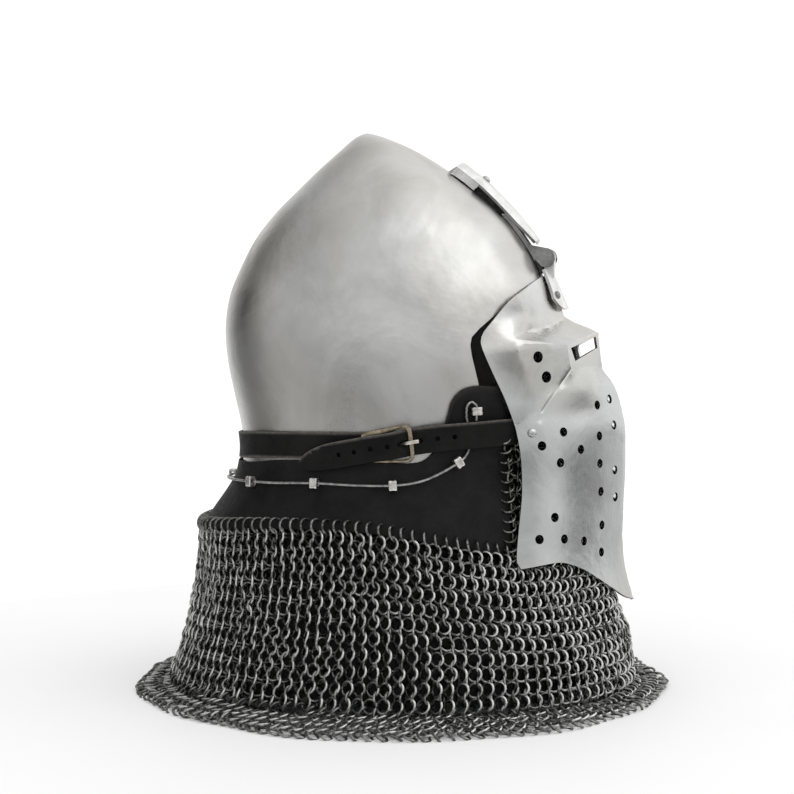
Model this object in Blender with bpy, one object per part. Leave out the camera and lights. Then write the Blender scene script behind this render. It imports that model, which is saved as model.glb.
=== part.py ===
"""A bascinet: a pointed steel skull, a hinged face guard (klappvisor) and a mail curtain
(aventail) that hangs from a leather band and spreads on the surface it stands on.

Metres. +X is the wearer's front, +Y the wearer's left, +Z up. The origin is on the
standing surface, at the middle of the mail's round brim.
"""

import math

import bmesh
import bpy
import numpy as np
from mathutils import Vector
from mathutils.geometry import delaunay_2d_cdt

# ---------------------------------------------------------------- driving dimensions
STEP = 0.0005                   # distance over which a surface's slope is taken
GAP = 0.0003                    # clearance between neighbouring pieces

SKULL_WALL = 0.0020
SKULL_POWER = 2.2               # superellipse power of the skull's horizontal sections
SKULL_APEX = (-0.0270, 0.4315)  # x, z
SKULL_SECTIONS = (
    # z, back x, front x, half width
    (0.1500, -0.1305, 0.1120, 0.1040),
    (0.1650, -0.1265, 0.1120, 0.1020),
    (0.1850, -0.1235, 0.1130, 0.1000),
    (0.2050, -0.1258, 0.1150, 0.1005),
    (0.2300, -0.1315, 0.1180, 0.1020),
    (0.2550, -0.1365, 0.1195, 0.1030),
    (0.2800, -0.1382, 0.1190, 0.1025),
    (0.3050, -0.1345, 0.1155, 0.0990),
    (0.3250, -0.1265, 0.1085, 0.0935),
    (0.3480, -0.1145, 0.0950, 0.0850),
    (0.3680, -0.0990, 0.0785, 0.0740),
    (0.3880, -0.0790, 0.0550, 0.0605),
    (0.4040, -0.0625, 0.0330, 0.0460),
    (0.4180, -0.0470, 0.0095, 0.0300),
    (0.4270, -0.0370, -0.0110, 0.0150),
)
SKULL_WAIST = (0.1750, 0.1950)  # further levels where the sides curve in
FACE_CUT = ((0.1600, 0.1300), (0.1600, 0.3150))   # x, z of the cutter's corners ahead of it
CUT_HALF = 0.1300               # half of the cutter's width
FACE_OPENING = (
    # x, z of the skull's opening seen from the side, brow first
    (0.1300, 0.3150), (0.1080, 0.3105), (0.0935, 0.3006), (0.0856, 0.2925),
    (0.0721, 0.2801), (0.0665, 0.2735), (0.0655, 0.2675), (0.0665, 0.2600),
    (0.0681, 0.2530), (0.0715, 0.2375), (0.0760, 0.2100), (0.0820, 0.1450),
)

VISOR_WALL = 0.0020
FOREHEAD_SECTIONS = (
    # z, keel x, rear x, half width, power: the plate that lies over the skull's brow
    (0.2620, 0.1180, 0.0550, 0.0800, 2.6),
    (0.2720, 0.1270, 0.0550, 0.0868, 2.6),
    (0.2800, 0.1300, 0.0550, 0.0882, 2.6),
    (0.2900, 0.1275, 0.0550, 0.0869, 2.8),
    (0.3000, 0.1240, 0.0550, 0.0841, 3.3),
    (0.3100, 0.1205, 0.0550, 0.0819, 3.6),
    (0.3200, 0.1165, 0.0550, 0.0778, 3.8),
    (0.3300, 0.1125, 0.0550, 0.0740, 3.8),
)
CHEEK_X = 0.0900
CHEEK_SECTIONS = (
    # z, half width at CHEEK_X, inward slope towards the front
    (0.1900, 0.0760, 0.800),
    (0.2050, 0.0840, 0.800),
    (0.2180, 0.0865, 0.690),
    (0.2300, 0.0852, 0.610),
    (0.2500, 0.0838, 0.430),
    (0.2720, 0.0851, 0.175),
    (0.3000, 0.0851, 0.100),
)
BREATH_SECTIONS = (
    # z, keel x, rear x, half width, power: the keeled bulge over mouth and chin
    (0.0700, 0.1825, 0.0950, 0.0930, 1.95),
    (0.0840, 0.1786, 0.0950, 0.0920, 1.95),
    (0.0980, 0.1755, 0.0950, 0.0905, 1.95),
    (0.1150, 0.1738, 0.0950, 0.0880, 1.95),
    (0.1430, 0.1744, 0.0950, 0.0840, 1.95),
    (0.1570, 0.1752, 0.0950, 0.0822, 1.95),
    (0.1710, 0.1758, 0.0950, 0.0815, 1.95),
    (0.1900, 0.1757, 0.0950, 0.0815, 1.95),
    (0.2050, 0.1750, 0.0950, 0.0795, 1.95),
    (0.2180, 0.1725, 0.0950, 0.0765, 1.95),
    (0.2315, 0.1682, 0.0950, 0.0700, 2.50),
    (0.2400, 0.1635, 0.0950, 0.0610, 3.40),
    (0.2490, 0.1560, 0.0950, 0.0545, 4.50),
    (0.2620, 0.1440, 0.0950, 0.0400, 4.50),
    (0.2700, 0.1300, 0.0950, 0.0200, 4.50),
)
SIGHT_PLANES = (
    # normal x, |y|, z and distance from the origin: the box that holds the sights
    (0.6546, 0.7556, 0.0216, 0.13250),    # side facet
    (0.3531, 0.3037, 0.8849, 0.29940),    # roof
    (0.9186, 0.3813, 0.1029, 0.17005),    # front, pierced by the sights
)
RIDGE_CORNERS = (0.2510, 0.2755, 0.2878)   # z where the box's edges meet the middle ridge
SIGHT_TOP = 0.2900              # the box is cut off above this height
SIGHT_BOTTOM = 0.1950
TEMPLE_FLOW = (0.1045, 0.0965), (0.2620, 0.2920)   # x, z over which box and brow run together
VISOR_REAR = (
    # x, z down the visor's rear edge, from beside the hinge to the lower corner
    (0.1116, 0.3183), (0.1026, 0.3085), (0.0937, 0.2999), (0.0809, 0.2845),
    (0.0750, 0.2768), (0.0733, 0.2712), (0.0743, 0.2655), (0.0815, 0.2487),
    (0.0908, 0.2282), (0.0970, 0.2104), (0.1016, 0.1906), (0.1031, 0.1729),
    (0.1032, 0.1546), (0.1014, 0.1328), (0.1003, 0.1154), (0.1004, 0.1085),
)
VISOR_FOOT = (
    # x, z along the visor's lower edge, from the rear corner to the point
    (0.1035, 0.1036), (0.1129, 0.1050), (0.1257, 0.1066), (0.1339, 0.1060),
    (0.1450, 0.1007), (0.1547, 0.0930), (0.1674, 0.0815), (0.1760, 0.0736),
)
VISOR_POINT = 0.0700            # z of the lowest point, on the keel
VISOR_TOP = 0.3205              # z of the highest point, on the keel
BREATH_HOLE = 0.0070            # diameter
BREATHS = (
    # x, z of each round breath on one side
    (0.1551, 0.2214), (0.1634, 0.2253), (0.1670, 0.2055), (0.1570, 0.1982),
    (0.1321, 0.2029), (0.1172, 0.1933), (0.1443, 0.1892), (0.1302, 0.1803),
    (0.1575, 0.1773), (0.1680, 0.1710), (0.1583, 0.1559), (0.1684, 0.1500),
    (0.1266, 0.1401), (0.1591, 0.1302), (0.1161, 0.1247), (0.1334, 0.1236),
    (0.1468, 0.1203), (0.1589, 0.1098),
)
SIDE_HOLE = 0.0086              # diameter of the two larger holes in the side facet
SIDE_HOLES = ((0.1136, 0.2586), (0.1195, 0.2437))
SIGHT = ((0.1362, 0.2648), (0.1523, 0.2728), (0.1536, 0.2642), (0.1392, 0.2550))
TEMPLE = (0.0965, 0.2721)       # x, z where the creases beside the sight meet
SIGHT_CORNER = (0.1336, 0.2672)
SIGHT_LOWER = (0.1365, 0.2493)
CHEEK_CREASE = ((0.1165, 0.2182), (0.1126, 0.2345), (0.1050, 0.2530))
BROW_CREASE = (0.1090, 0.2804)
VISOR_CELL = 0.0105             # spacing of the points that shape the plate
VISOR_BACK = 0.0700             # x behind every point of the plate
RIVET_HOLE = 0.0036
STRAP_RIVET = (0.1100, 0.2030)  # x, z on the cheek
RIVET_LIFT = 0.0007             # how far its flat underside stands off the curved plate

HINGE = Vector((0.1138, 0.0, 0.3335))
HINGE_HALF = 0.0150             # half of the hinge's width
KNUCKLE_HALF = 0.0080           # half of the middle knuckle's width
KNUCKLE_RADIUS = 0.0068
PIN_RADIUS = 0.0025
PIN_DEPTH = 0.0002              # how far its ends lie inside the hinge's sides
KNUCKLE_STEP = 0.00005          # how far the outer knuckles' ends lie inside them
BRACKET_LINE = (
    # x, z along the middle of the bracket's outer face, from its upper foot to the lip
    (0.0405, 0.4016), (0.0446, 0.4050), (0.0490, 0.4078), (0.0575, 0.4017), (0.0668, 0.3943),
    (0.0778, 0.3838), (0.0884, 0.3727), (0.0960, 0.3640), (0.1024, 0.3560), (0.1085, 0.3476),
)
BRACKET_WALL = 0.0023
BRACKET_CROWN = (
    # x, how far its edges lie below its middle
    (0.0405, 0.0026), (0.0446, 0.0044), (0.0490, 0.0056), (0.0575, 0.0058),
    (0.0884, 0.0056), (0.0960, 0.0053), (0.1024, 0.0042), (0.1085, 0.0028),
)
BRACKET_DOWN = Vector((-0.60, 0.0, -0.80))   # the direction in which they lie lower
BRACKET_RIVET = 4               # the point of BRACKET_LINE that carries the rivet
BRACKET_FLANGE = (
    # x, z of each side wall, which stands on the skull at the upper end
    (0.0424, 0.3974), (0.0424, 0.4004), (0.0453, 0.4026), (0.0537, 0.3966), (0.0628, 0.3893),
    (0.0612, 0.3872), (0.0580, 0.3856), (0.0500, 0.3925),
)
BRACKET_CORE = (
    # x, z of the block inside it that takes the strip's upper end
    (0.0590, 0.3858), (0.0660, 0.3801), (0.0748, 0.3727), (0.0796, 0.3685), (0.0836, 0.3724),
    (0.0778, 0.3813), (0.0668, 0.3919), (0.0585, 0.3984),
)
FLANGE_STEP = 0.0001            # how far their outer faces lie inside the hinge's sides
CORE_HALF = 0.0050              # half of its width
STRIP_WALL = 0.0030
STRIP_HALF = 0.0120             # half of its width
STRIP_TOP, STRIP_END = 0.3655, 0.3213
STRIP_LIFT = 0.0005             # how far it stands off the skull
NECK = ((0.1110, 0.3268), (0.1066, 0.3315), (0.1030, 0.3375), (0.1005, 0.3415), (0.1020, 0.3432))
STRIP_DROP = 0.0073             # radius of the strip's teardrop ends round the pin
LEAF_NECK = (
    # x, z from the middle knuckle down to the leaf
    (0.1130, 0.3256), (0.1138, 0.3214), (0.1172, 0.3212), (0.1184, 0.3175), (0.1202, 0.3180),
    (0.1200, 0.3240),
)
LEAF_WALL = 0.0022
LEAF_HALF = (0.0225, 0.0180)    # half of its width, at the end and at the top
LEAF_TOP, LEAF_END = 0.3235, 0.2925
LEAF_ROUND = 0.0085             # how much higher its lower corners lie
LEAF_CURVE = 2.5                # power of the curve of its lower edge
LEAF_LIFT = (0.0008, 0.0026)    # how far it stands off the brow, at the top and at the end
LEAF_RIVET = (0.0130, 0.3035)   # y, z of each rivet
RIVET = ((0.0031, 0.0), (0.0029, 0.0006), (0.0020, 0.0013), (0.0006, 0.0016))
RIVET_SHANK = 0.0014            # radius
LARGE_HEAD = 1.1                # size of the bracket's and the cheeks' rivets
CHEEK_SHANK = 0.0020            # length of the cheek rivets' shanks

LEATHER = 0.0030                # thickness of the band
SEAT = 0.0004                   # how far leather stands off the steel under it
LEATHER_POWER = 2.2
LEATHER_SECTIONS = (
    # z, back x, front x, half width of the band's outer face
    (0.1000, -0.1660, 0.1150, 0.1275),
    (0.1100, -0.1620, 0.1165, 0.1255),
    (0.1245, -0.1560, 0.1175, 0.1220),
    (0.1370, -0.1480, 0.1175, 0.1170),
    (0.1500, -0.1390, 0.1165, 0.1115),
    (0.1580, -0.1340, 0.1160, 0.1085),
    (0.1650, -0.1305, 0.1156, 0.1060),
    (0.1850, -0.1272, 0.1166, 0.1036),
    (0.2050, -0.1294, 0.1186, 0.1041),
    (0.2400, -0.1370, 0.1220, 0.1063),
)
LEATHER_STRAIGHT = 0.0660       # in front of this x the band runs on straight
LEATHER_BEND = 0.86             # share of its half length that lies behind that
LEATHER_MIDDLE = 0.1600         # z near the middle of its width
LEATHER_FOOT = 0.1250           # z near its lower edge
LEATHER_EDGES = (
    # x on the side, lower edge z, upper edge z, from the back to the face
    (-0.1500, 0.1215, 0.1765),
    (-0.1150, 0.1265, 0.1775),
    (-0.0800, 0.1310, 0.1818),
    (-0.0400, 0.1328, 0.1826),
    (0.0000, 0.1314, 0.1824),
    (0.0280, 0.1272, 0.1820),
    (0.0400, 0.1245, 0.1900),
    (0.0480, 0.1228, 0.2070),
    (0.0530, 0.1216, 0.2250),
    (0.0610, 0.1198, 0.2345),
    (0.0720, 0.1172, 0.2376),
    (0.0980, 0.1110, 0.2366),
)
LEATHER_FRONT = ((0.1000, 0.0978), (0.1900, 0.0915), (0.2400, 0.0880))   # z, x

VERVELLE_SIZE = (0.0058, 0.0084, 0.0062)   # along the wire, up, out from the leather
VERVELLE_BORE = 0.0018          # radius
VERVELLES = (0, 2, 4, 7, 15)    # the points of the wire's route that carry one
WIRE_RADIUS = 0.0010
WIRE_ROUTE = (
    # x, z, lift of its middle off the leather, on each side from the back forwards
    (-0.0990, 0.1640, 0.0046), (-0.0776, 0.1646, 0.0028), (-0.0468, 0.1660, 0.0035),
    (-0.0161, 0.1652, 0.0028), (0.0114, 0.1655, 0.0035), (0.0292, 0.1680, 0.0028),
    (0.0426, 0.1732, 0.0028), (0.0568, 0.1820, 0.0035), (0.0628, 0.1880, 0.0022),
    (0.0645, 0.1945, 0.0015), (0.0642, 0.2060, 0.0015), (0.0626, 0.2150, 0.0022),
    (0.0630, 0.2235, 0.0028), (0.0662, 0.2264, 0.0032), (0.0688, 0.2240, 0.0034),
    (0.0692, 0.2194, 0.0035), (0.0690, 0.2125, 0.0032),
)
WIRE_BACK = 0.1622              # z of the wire behind the head
WIRE_STAND = 0.0048             # how far it stands off the leather there
WIRE_REACH = 0.235              # share of the half length at which it meets the sides' wire
WIRE_CENTRE = -0.0300           # x of the point that it stands away from there
WIRE_RISE = 0.0060              # how far it would rise along the whole half length

STRAP_WIDTH = 0.0200
STRAP = 0.0028                  # thickness
STRAP_ROUTE = (
    # x, z of the middle line, lift of its inner face off the seat, from the left cheek back
    (0.1180, 0.2025, 0.0048), (0.1080, 0.2025, 0.0044), (0.0980, 0.2025, 0.0046),
    (0.0880, 0.2020, 0.0054), (0.0780, 0.2015, 0.0070), (0.0660, 0.2010, 0.0071),
    (0.0520, 0.2000, 0.0064), (0.0400, 0.1985, 0.0052), (0.0300, 0.1975, 0.0024),
    (0.0220, 0.1965, 0.0007),
    (-0.0100, 0.1940, 0.0007), (-0.0600, 0.1930, 0.0007), (-0.0980, 0.1915, 0.0007),
)
STRAP_BACK = 0.1880             # z of its middle line behind the head
STRAP_END = 0.0045              # x where it ends, under the buckle
STRAP_LAST = 0.0040             # least length of its last stretch
BILLET_WIDTH = 0.0196
BILLET_ROUTE = (
    # x, z of the middle line, lift of its inner face off the seat, front to tip
    (0.1180, 0.2042, 0.0048), (0.1080, 0.2040, 0.0044), (0.0980, 0.2037, 0.0046),
    (0.0880, 0.2033, 0.0054), (0.0780, 0.2027, 0.0070), (0.0660, 0.2018, 0.0071),
    (0.0520, 0.2008, 0.0064), (0.0400, 0.1996, 0.0052), (0.0250, 0.1974, 0.0040),
    (0.0214, 0.1967, 0.0042), (0.0148, 0.1954, 0.0074), (0.0070, 0.1939, 0.0077),
    (-0.0060, 0.1918, 0.0078), (-0.0145, 0.1901, 0.0077), (-0.0240, 0.1882, 0.0060),
    (-0.0320, 0.1866, 0.0050),
    (-0.0450, 0.1848, 0.0048), (-0.0580, 0.1842, 0.0048),
)
RUN = 0.0020                    # length over which its direction is taken
BILLET_CELL = 0.0090            # spacing of the points that shape it
BILLET_ROW = 0.0049             # distance of its outer rows of points from its middle line
BILLET_TIP = (0.0100, 0.0310)   # length of the pointed end, along the lower and the upper edge
BILLET_DROP = 0.0033            # how far the point lies below the middle
BILLET_CURVE = 1.2              # power of the curve of both edges
BILLET_HOLE = 0.0030
BILLET_PITCH = 0.0124           # spacing of its holes
BILLET_HOLES = (-3, 4)          # numbers of the first and last hole, counted from the tongue
TONGUE_SLOT = 0.0100            # length of the hole that the tongue has pulled wide
BUCKLE_WIRE = 0.0016            # radius
BUCKLE = (
    # x, z of the frame's bars, lift of their middle off the seat, round from the rear foot
    (-0.0105, 0.1845, 0.0057), (-0.0108, 0.1990, 0.0057), (-0.0085, 0.2018, 0.0057),
    (0.0062, 0.2052, 0.0058), (0.0140, 0.2078, 0.0062), (0.0190, 0.2085, 0.0082),
    (0.0221, 0.2066, 0.0093), (0.0234, 0.1985, 0.0093), (0.0243, 0.1880, 0.0093),
    (0.0232, 0.1848, 0.0084), (0.0186, 0.1833, 0.0060), (0.0022, 0.1829, 0.0057),
)
TONGUE = (
    # x, z, lift off the seat, from the rear bar to the point
    (-0.0078, 0.1914, 0.0050), (0.0070, 0.1940, 0.0052), (0.0150, 0.1954, 0.0056),
    (0.0182, 0.1961, 0.0078), (0.0206, 0.1966, 0.0106), (0.0232, 0.1972, 0.0124),
    (0.0258, 0.1978, 0.0126), (0.0284, 0.1982, 0.0122),
)
TONGUE_RADIUS = 0.0010
SLOT_HEIGHT = 1.1               # of the tongue's slot, as a share of a hole's
TONGUE_AT = 0.0195              # x where the tongue comes through the billet

MAIL = 0.0030                   # thickness of the mail
MAIL_BACK_POWER = 2.1
MAIL_SECTIONS = (
    # z, back x, front x, half width, power of the front quarter
    (0.0030, -0.2050, 0.2050, 0.2040, 2.00),
    (0.0042, -0.1800, 0.1810, 0.1590, 1.95),
    (0.0080, -0.1785, 0.1800, 0.1570, 1.90),
    (0.0150, -0.1760, 0.1785, 0.1545, 1.90),
    (0.0300, -0.1705, 0.1760, 0.1500, 1.90),
    (0.0450, -0.1665, 0.1728, 0.1455, 1.90),
    (0.0600, -0.1625, 0.1668, 0.1400, 1.85),
    (0.0800, -0.1590, 0.1608, 0.1330, 1.75),
    (0.1050, -0.1572, 0.1575, 0.1240, 1.60),
    (0.1250, -0.1570, 0.1565, 0.1215, 1.53),
    (0.1550, -0.1570, 0.1545, 0.1180, 1.50),
    (0.2080, -0.1570, 0.1500, 0.1120, 1.50),
)
MAIL_BRIM = ((0.0030, 0.0), (0.0036, 0.0), (0.0044, 0.0006))
# z of the brim's upper face, inset of the point under it
MAIL_TOP = 0.2070               # upper edge in front of the chin
MAIL_PANEL = 43                 # degrees each side of the front that the chin panel reaches
MAIL_CHIN = 0.1085              # z where the chin panel begins
MAIL_DROP = 0.0026              # how far the skirt's upper edge lies below the leather


# ---------------------------------------------------------------- curves and tables

def between(table, key):
    """The values of a table's row at any key, smooth through the rows."""
    keys = [row[0] for row in table]
    if key <= keys[0]:
        return table[0][1:]
    if key >= keys[-1]:
        return table[-1][1:]
    index = max(i for i in range(len(keys) - 1) if keys[i] <= key)
    last = len(keys) - 1

    def slope(i, column):
        before, after = max(i - 1, 0), min(i + 1, last)
        return (table[after][column] - table[before][column]) / (keys[after] - keys[before])

    step = keys[index + 1] - keys[index]
    t = (key - keys[index]) / step
    values = []
    for column in range(1, len(table[0])):
        values.append(
            (2 * t**3 - 3 * t**2 + 1) * table[index][column]
            + (t**3 - 2 * t**2 + t) * slope(index, column) * step
            + (3 * t**2 - 2 * t**3) * table[index + 1][column]
            + (t**3 - t**2) * slope(index + 1, column) * step
        )
    return values


def smooth(points, spacing, closed=False):
    """Points about one spacing apart on a soft curve through the given points."""
    points = [Vector(p) for p in points]
    count = len(points)
    spans = count if closed else count - 1
    result = []
    for i in range(spans):
        start, end = points[i], points[(i + 1) % count]
        before = points[i - 1] if closed or i else start
        after = points[(i + 2) % count] if closed or i + 2 < count else end
        steps = max(1, round((end - start).length / spacing))
        for k in range(steps):
            t = k / steps
            result.append(0.5 * (
                2 * start + (end - before) * t
                + (2 * before - 5 * start + 4 * end - after) * t**2
                + (3 * start - before - 3 * end + after) * t**3
            ))
    if not closed:
        result.append(points[-1])
    return result


def inside(point, outline):
    """Whether a flat point lies inside a closed outline."""
    hit = False
    for (ax, az), (bx, bz) in zip(outline, outline[1:] + outline[:1]):
        if (az > point[1]) != (bz > point[1]):
            if point[0] < (bx - ax) * (point[1] - az) / (bz - az) + ax:
                hit = not hit
    return hit


def circle(radius, count):
    return [(radius * math.cos(2 * math.pi * i / count), radius * math.sin(2 * math.pi * i / count))
            for i in range(count)]


# ---------------------------------------------------------------- solids from points

def material(name, colour, roughness, metallic):
    made = bpy.data.materials.new(name)
    made.use_nodes = True
    shader = made.node_tree.nodes["Principled BSDF"]
    shader.inputs["Base Color"].default_value = (*colour, 1.0)
    shader.inputs["Roughness"].default_value = roughness
    shader.inputs["Metallic"].default_value = metallic
    made.diffuse_color = (*colour, 1.0)
    return made


def solid(name, points, faces, look, sharp=30.0):
    """An object from points and faces, its faces turned outwards."""
    mesh = bpy.data.meshes.new(name)
    mesh.from_pydata([tuple(p) for p in points], [], faces)
    shaped = bmesh.new()
    shaped.from_mesh(mesh)
    bmesh.ops.remove_doubles(shaped, verts=shaped.verts, dist=0.00001)
    bmesh.ops.triangulate(shaped, faces=shaped.faces)
    bmesh.ops.recalc_face_normals(shaped, faces=shaped.faces)
    shaped.to_mesh(mesh)
    shaped.free()
    mesh.shade_smooth()
    mesh.set_sharp_from_angle(angle=math.radians(sharp))
    made = bpy.data.objects.new(name, mesh)
    bpy.context.collection.objects.link(made)
    if look:
        made.data.materials.append(look)
    return made


def inward(points, faces, distance):
    """The points moved inwards, square to the faces round them."""
    around = [[] for _ in points]
    for face in faces:
        corners = [Vector(points[i]) for i in face]
        normal = (corners[1] - corners[0]).cross(corners[2] - corners[0]).normalized()
        for i in face:
            around[i].append(normal)
    moved = []
    for point, normals in zip(points, around):
        mean = sum(normals, Vector()).normalized()
        reach = sum(mean.dot(n) for n in normals) / len(normals)
        moved.append(Vector(point) - mean * distance / max(reach, 0.6))
    return moved


def skins(outer, inner, faces):
    """Points and faces of the closed wall between an outer and an inner skin."""
    count = len(outer)
    edges = {}
    for face in faces:
        for a, b in zip(face, face[1:] + face[:1]):
            edges[a, b] = True
    rim = [(a, b) for a, b in edges if (b, a) not in edges]
    inner_faces = [tuple(i + count for i in reversed(face)) for face in faces]
    walls = [(b, a, a + count, b + count) for a, b in rim]
    return list(outer) + list(inner), faces + inner_faces + walls


def grid(rows, columns, ring=False):
    """Faces of a grid of points that runs left to right and then upwards."""
    faces = []
    for row in range(rows - 1):
        for column in range(columns if ring else columns - 1):
            a = row * columns + column
            b = row * columns + (column + 1) % columns
            faces.append((a, b, b + columns, a + columns))
    return faces


def sheet(outline, holes, guides, inner_points, lift, near):
    """Flat points and the triangles between them, for a surface lift(u, v).

    The triangles fill the outline less its holes, keep an edge along each guide, and pass
    through those inner points that lie clear of every edge."""
    flat, edges = [], []
    for loop in [outline] + holes:
        start = len(flat)
        flat += [tuple(p) for p in loop]
        edges += [(start + i, start + (i + 1) % len(loop)) for i in range(len(loop))]
    for line in guides:
        start = len(flat)
        flat += [tuple(p) for p in line]
        edges += [(start + i, start + i + 1) for i in range(len(line) - 1)]
    fixed = np.array([lift(*p) for p in flat])
    for point in inner_points:
        if not inside(point, outline) or any(inside(point, hole) for hole in holes):
            continue
        gaps = np.linalg.norm(fixed - np.array(lift(*point)), axis=1)
        if gaps.min() > near:
            flat.append(tuple(point))
    found = delaunay_2d_cdt([Vector(p) for p in flat], edges, [], 0, 0.000001)
    points, triangles = found[0], found[2]
    kept = []
    for face in triangles:
        middle = sum((points[i] for i in face), Vector((0, 0))) / len(face)
        if inside(middle, outline) and not any(inside(middle, hole) for hole in holes):
            kept.append(tuple(face))
    return points, kept


def prism(name, outline, low, high, look=None):
    """A side-view outline of (x, z) points drawn out in y, from low to high."""
    count = len(outline)
    points = [(x, y, z) for y in (low, high) for x, z in outline]
    faces = [tuple(range(count)), tuple(range(2 * count - 1, count - 1, -1))]
    faces += [(i, (i + 1) % count, (i + 1) % count + count, i + count) for i in range(count)]
    return solid(name, points, faces, look)


def tube(name, route, radius, look, closed=False, sides=8):
    """A round bar along a route."""
    curve = bpy.data.curves.new(name, "CURVE")
    curve.dimensions = "3D"
    curve.bevel_depth = radius
    curve.bevel_resolution = sides // 4
    curve.use_fill_caps = not closed
    spline = curve.splines.new("POLY")
    spline.points.add(len(route) - 1)
    for point, place in zip(spline.points, route):
        point.co = (*place, 1.0)
    spline.use_cyclic_u = closed
    made = bpy.data.objects.new(name, curve)
    bpy.context.collection.objects.link(made)
    curve.materials.append(look)
    return made


def lathe(name, profile, place, normal, look, steps=16):
    """A turned piece: (radius, height) pairs from the foot up, set along a normal."""
    points = []
    for radius, height in profile:
        for x, y in circle(radius, steps):
            points.append(Vector((x, y, height)))
    faces = grid(len(profile), steps, ring=True)
    faces.append(tuple(range(steps - 1, -1, -1)))
    faces.append(tuple(range(len(points) - steps, len(points))))
    turn = Vector(normal).to_track_quat("Z", "Y").to_matrix()
    return solid(name, [Vector(place) + turn @ p for p in points], faces, look)


def combine(target, cutter, operation):
    """Join a helper to a piece, or cut it out, and keep the helper out of the part."""
    cutter.hide_render = True
    cutter.display_type = "WIRE"
    cutter.hide_set(True)
    step = target.modifiers.new(cutter.name, "BOOLEAN")
    step.operation = operation
    step.solver = "EXACT"
    step.object = cutter


# ---------------------------------------------------------------- skull

def oval(z, angle, table, power):
    """A point on a horizontal section; angle 0 is the front, a quarter turn the left."""
    back, front, half = between(table, z)[:3]
    middle, reach = (back + front) / 2, (front - back) / 2
    cosine, sine = math.cos(angle), math.sin(angle)
    x = middle + reach * math.copysign(abs(cosine) ** (2 / power), cosine)
    y = half * math.copysign(abs(sine) ** (2 / power), sine)
    return Vector((x, y, z))


def make_skull(look):
    columns = 40
    levels = sorted([row[0] for row in SKULL_SECTIONS] + list(SKULL_WAIST))
    outer = [oval(z, 2 * math.pi * i / columns, SKULL_SECTIONS, SKULL_POWER)
             for z in levels for i in range(columns)]
    faces = grid(len(levels), columns, ring=True)
    apex = len(outer)
    outer.append(Vector((SKULL_APEX[0], 0, SKULL_APEX[1])))
    top = apex - columns
    faces += [(top + i, top + (i + 1) % columns, apex) for i in range(columns)]
    inner = inward(outer, faces, SKULL_WALL)
    skull = solid("skull", *skins(outer, inner, faces), look)
    cut = list(FACE_OPENING) + list(FACE_CUT)
    combine(skull, prism("face_cut", cut, -CUT_HALF, CUT_HALF), "DIFFERENCE")
    return skull


def seat(x, z, lift=0.0, side=-1):
    """A point over the skull's side, by its lift; ahead of the ears it runs on straight."""
    back, front, half = between(SKULL_SECTIONS, z)[:3]
    middle, reach = (back + front) / 2, (front - back) / 2
    at = min(x, LEATHER_STRAIGHT)
    t = min(abs(at - middle) / reach, 0.9999)
    y = half * (1 - t**SKULL_POWER) ** (1 / SKULL_POWER)
    fall = -(half / reach) * (t / (y / half)) ** (SKULL_POWER - 1) * math.copysign(1, at - middle)
    y += fall * (x - at)
    normal = Vector((-fall, 1.0, 0.0)).normalized()
    return Vector((x + normal.x * lift, side * (y + normal.y * lift), z))


# ---------------------------------------------------------------- visor

def bulge(table, x, z):
    keel, rear, width, power = between(table, z)
    t = min(max((keel - x) / (keel - rear), 0.0), 1.0)
    return width * (1 - (1 - t) ** power)


def visor_width(x, z):
    """Half width of the face guard's outer face at a side-view point."""
    widths = [0.0]
    if SIGHT_BOTTOM < z < SIGHT_TOP:
        width, slope = between(CHEEK_SECTIONS, z)
        box = [(d - a * x - c * z) / b for a, b, c, d in SIGHT_PLANES]
        widths.append(min(box + [width - slope * (x - CHEEK_X)]))
    if z >= FOREHEAD_SECTIONS[0][0]:
        widths.append(bulge(FOREHEAD_SECTIONS, x, z))
    if z <= BREATH_SECTIONS[-1][0]:
        widths.append(bulge(BREATH_SECTIONS, x, z))
    (front, rear), (low, high) = TEMPLE_FLOW
    flow = min(max((front - x) / (front - rear), 0.0), 1.0)
    if flow == 0.0 or not low < z < high:
        return max(widths)
    up = (z - low) / (high - low)
    up = up * up * (3 - 2 * up)
    width, slope = between(CHEEK_SECTIONS, z)
    cheek = width - slope * (x - CHEEK_X)
    soft = cheek + (bulge(FOREHEAD_SECTIONS, x, z) - cheek) * up
    return max(widths) * (1 - flow) + soft * flow


def keel(z):
    """x of the face guard's middle ridge."""
    places = []
    if z >= FOREHEAD_SECTIONS[0][0]:
        places.append(between(FOREHEAD_SECTIONS, z)[0])
    if z <= BREATH_SECTIONS[-1][0]:
        places.append(between(BREATH_SECTIONS, z)[0])
    if SIGHT_BOTTOM < z < SIGHT_TOP:
        places.append(min((d - c * z) / a for a, b, c, d in SIGHT_PLANES))
    return max(places)


def on_visor(x, z):
    """The right-hand point of the face guard over a side-view point."""
    return Vector((x, -visor_width(x, z), z))


def visor_normal(x, z):
    along_x = on_visor(x + STEP, z) - on_visor(x - STEP, z)
    along_z = on_visor(x, z + STEP) - on_visor(x, z - STEP)
    return along_x.cross(along_z).normalized()


def round_hole(x, z, diameter, count=10):
    """Side-view outline of a hole drilled square to the plate."""
    place, normal = on_visor(x, z), visor_normal(x, z)
    level = Vector((0, 0, 1)).cross(normal).normalized()
    upright = normal.cross(level)
    loop = []
    for a, b in circle(diameter / 2, count):
        point = place + a * level + b * upright
        loop.append((point.x, point.z))
    return loop


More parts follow.
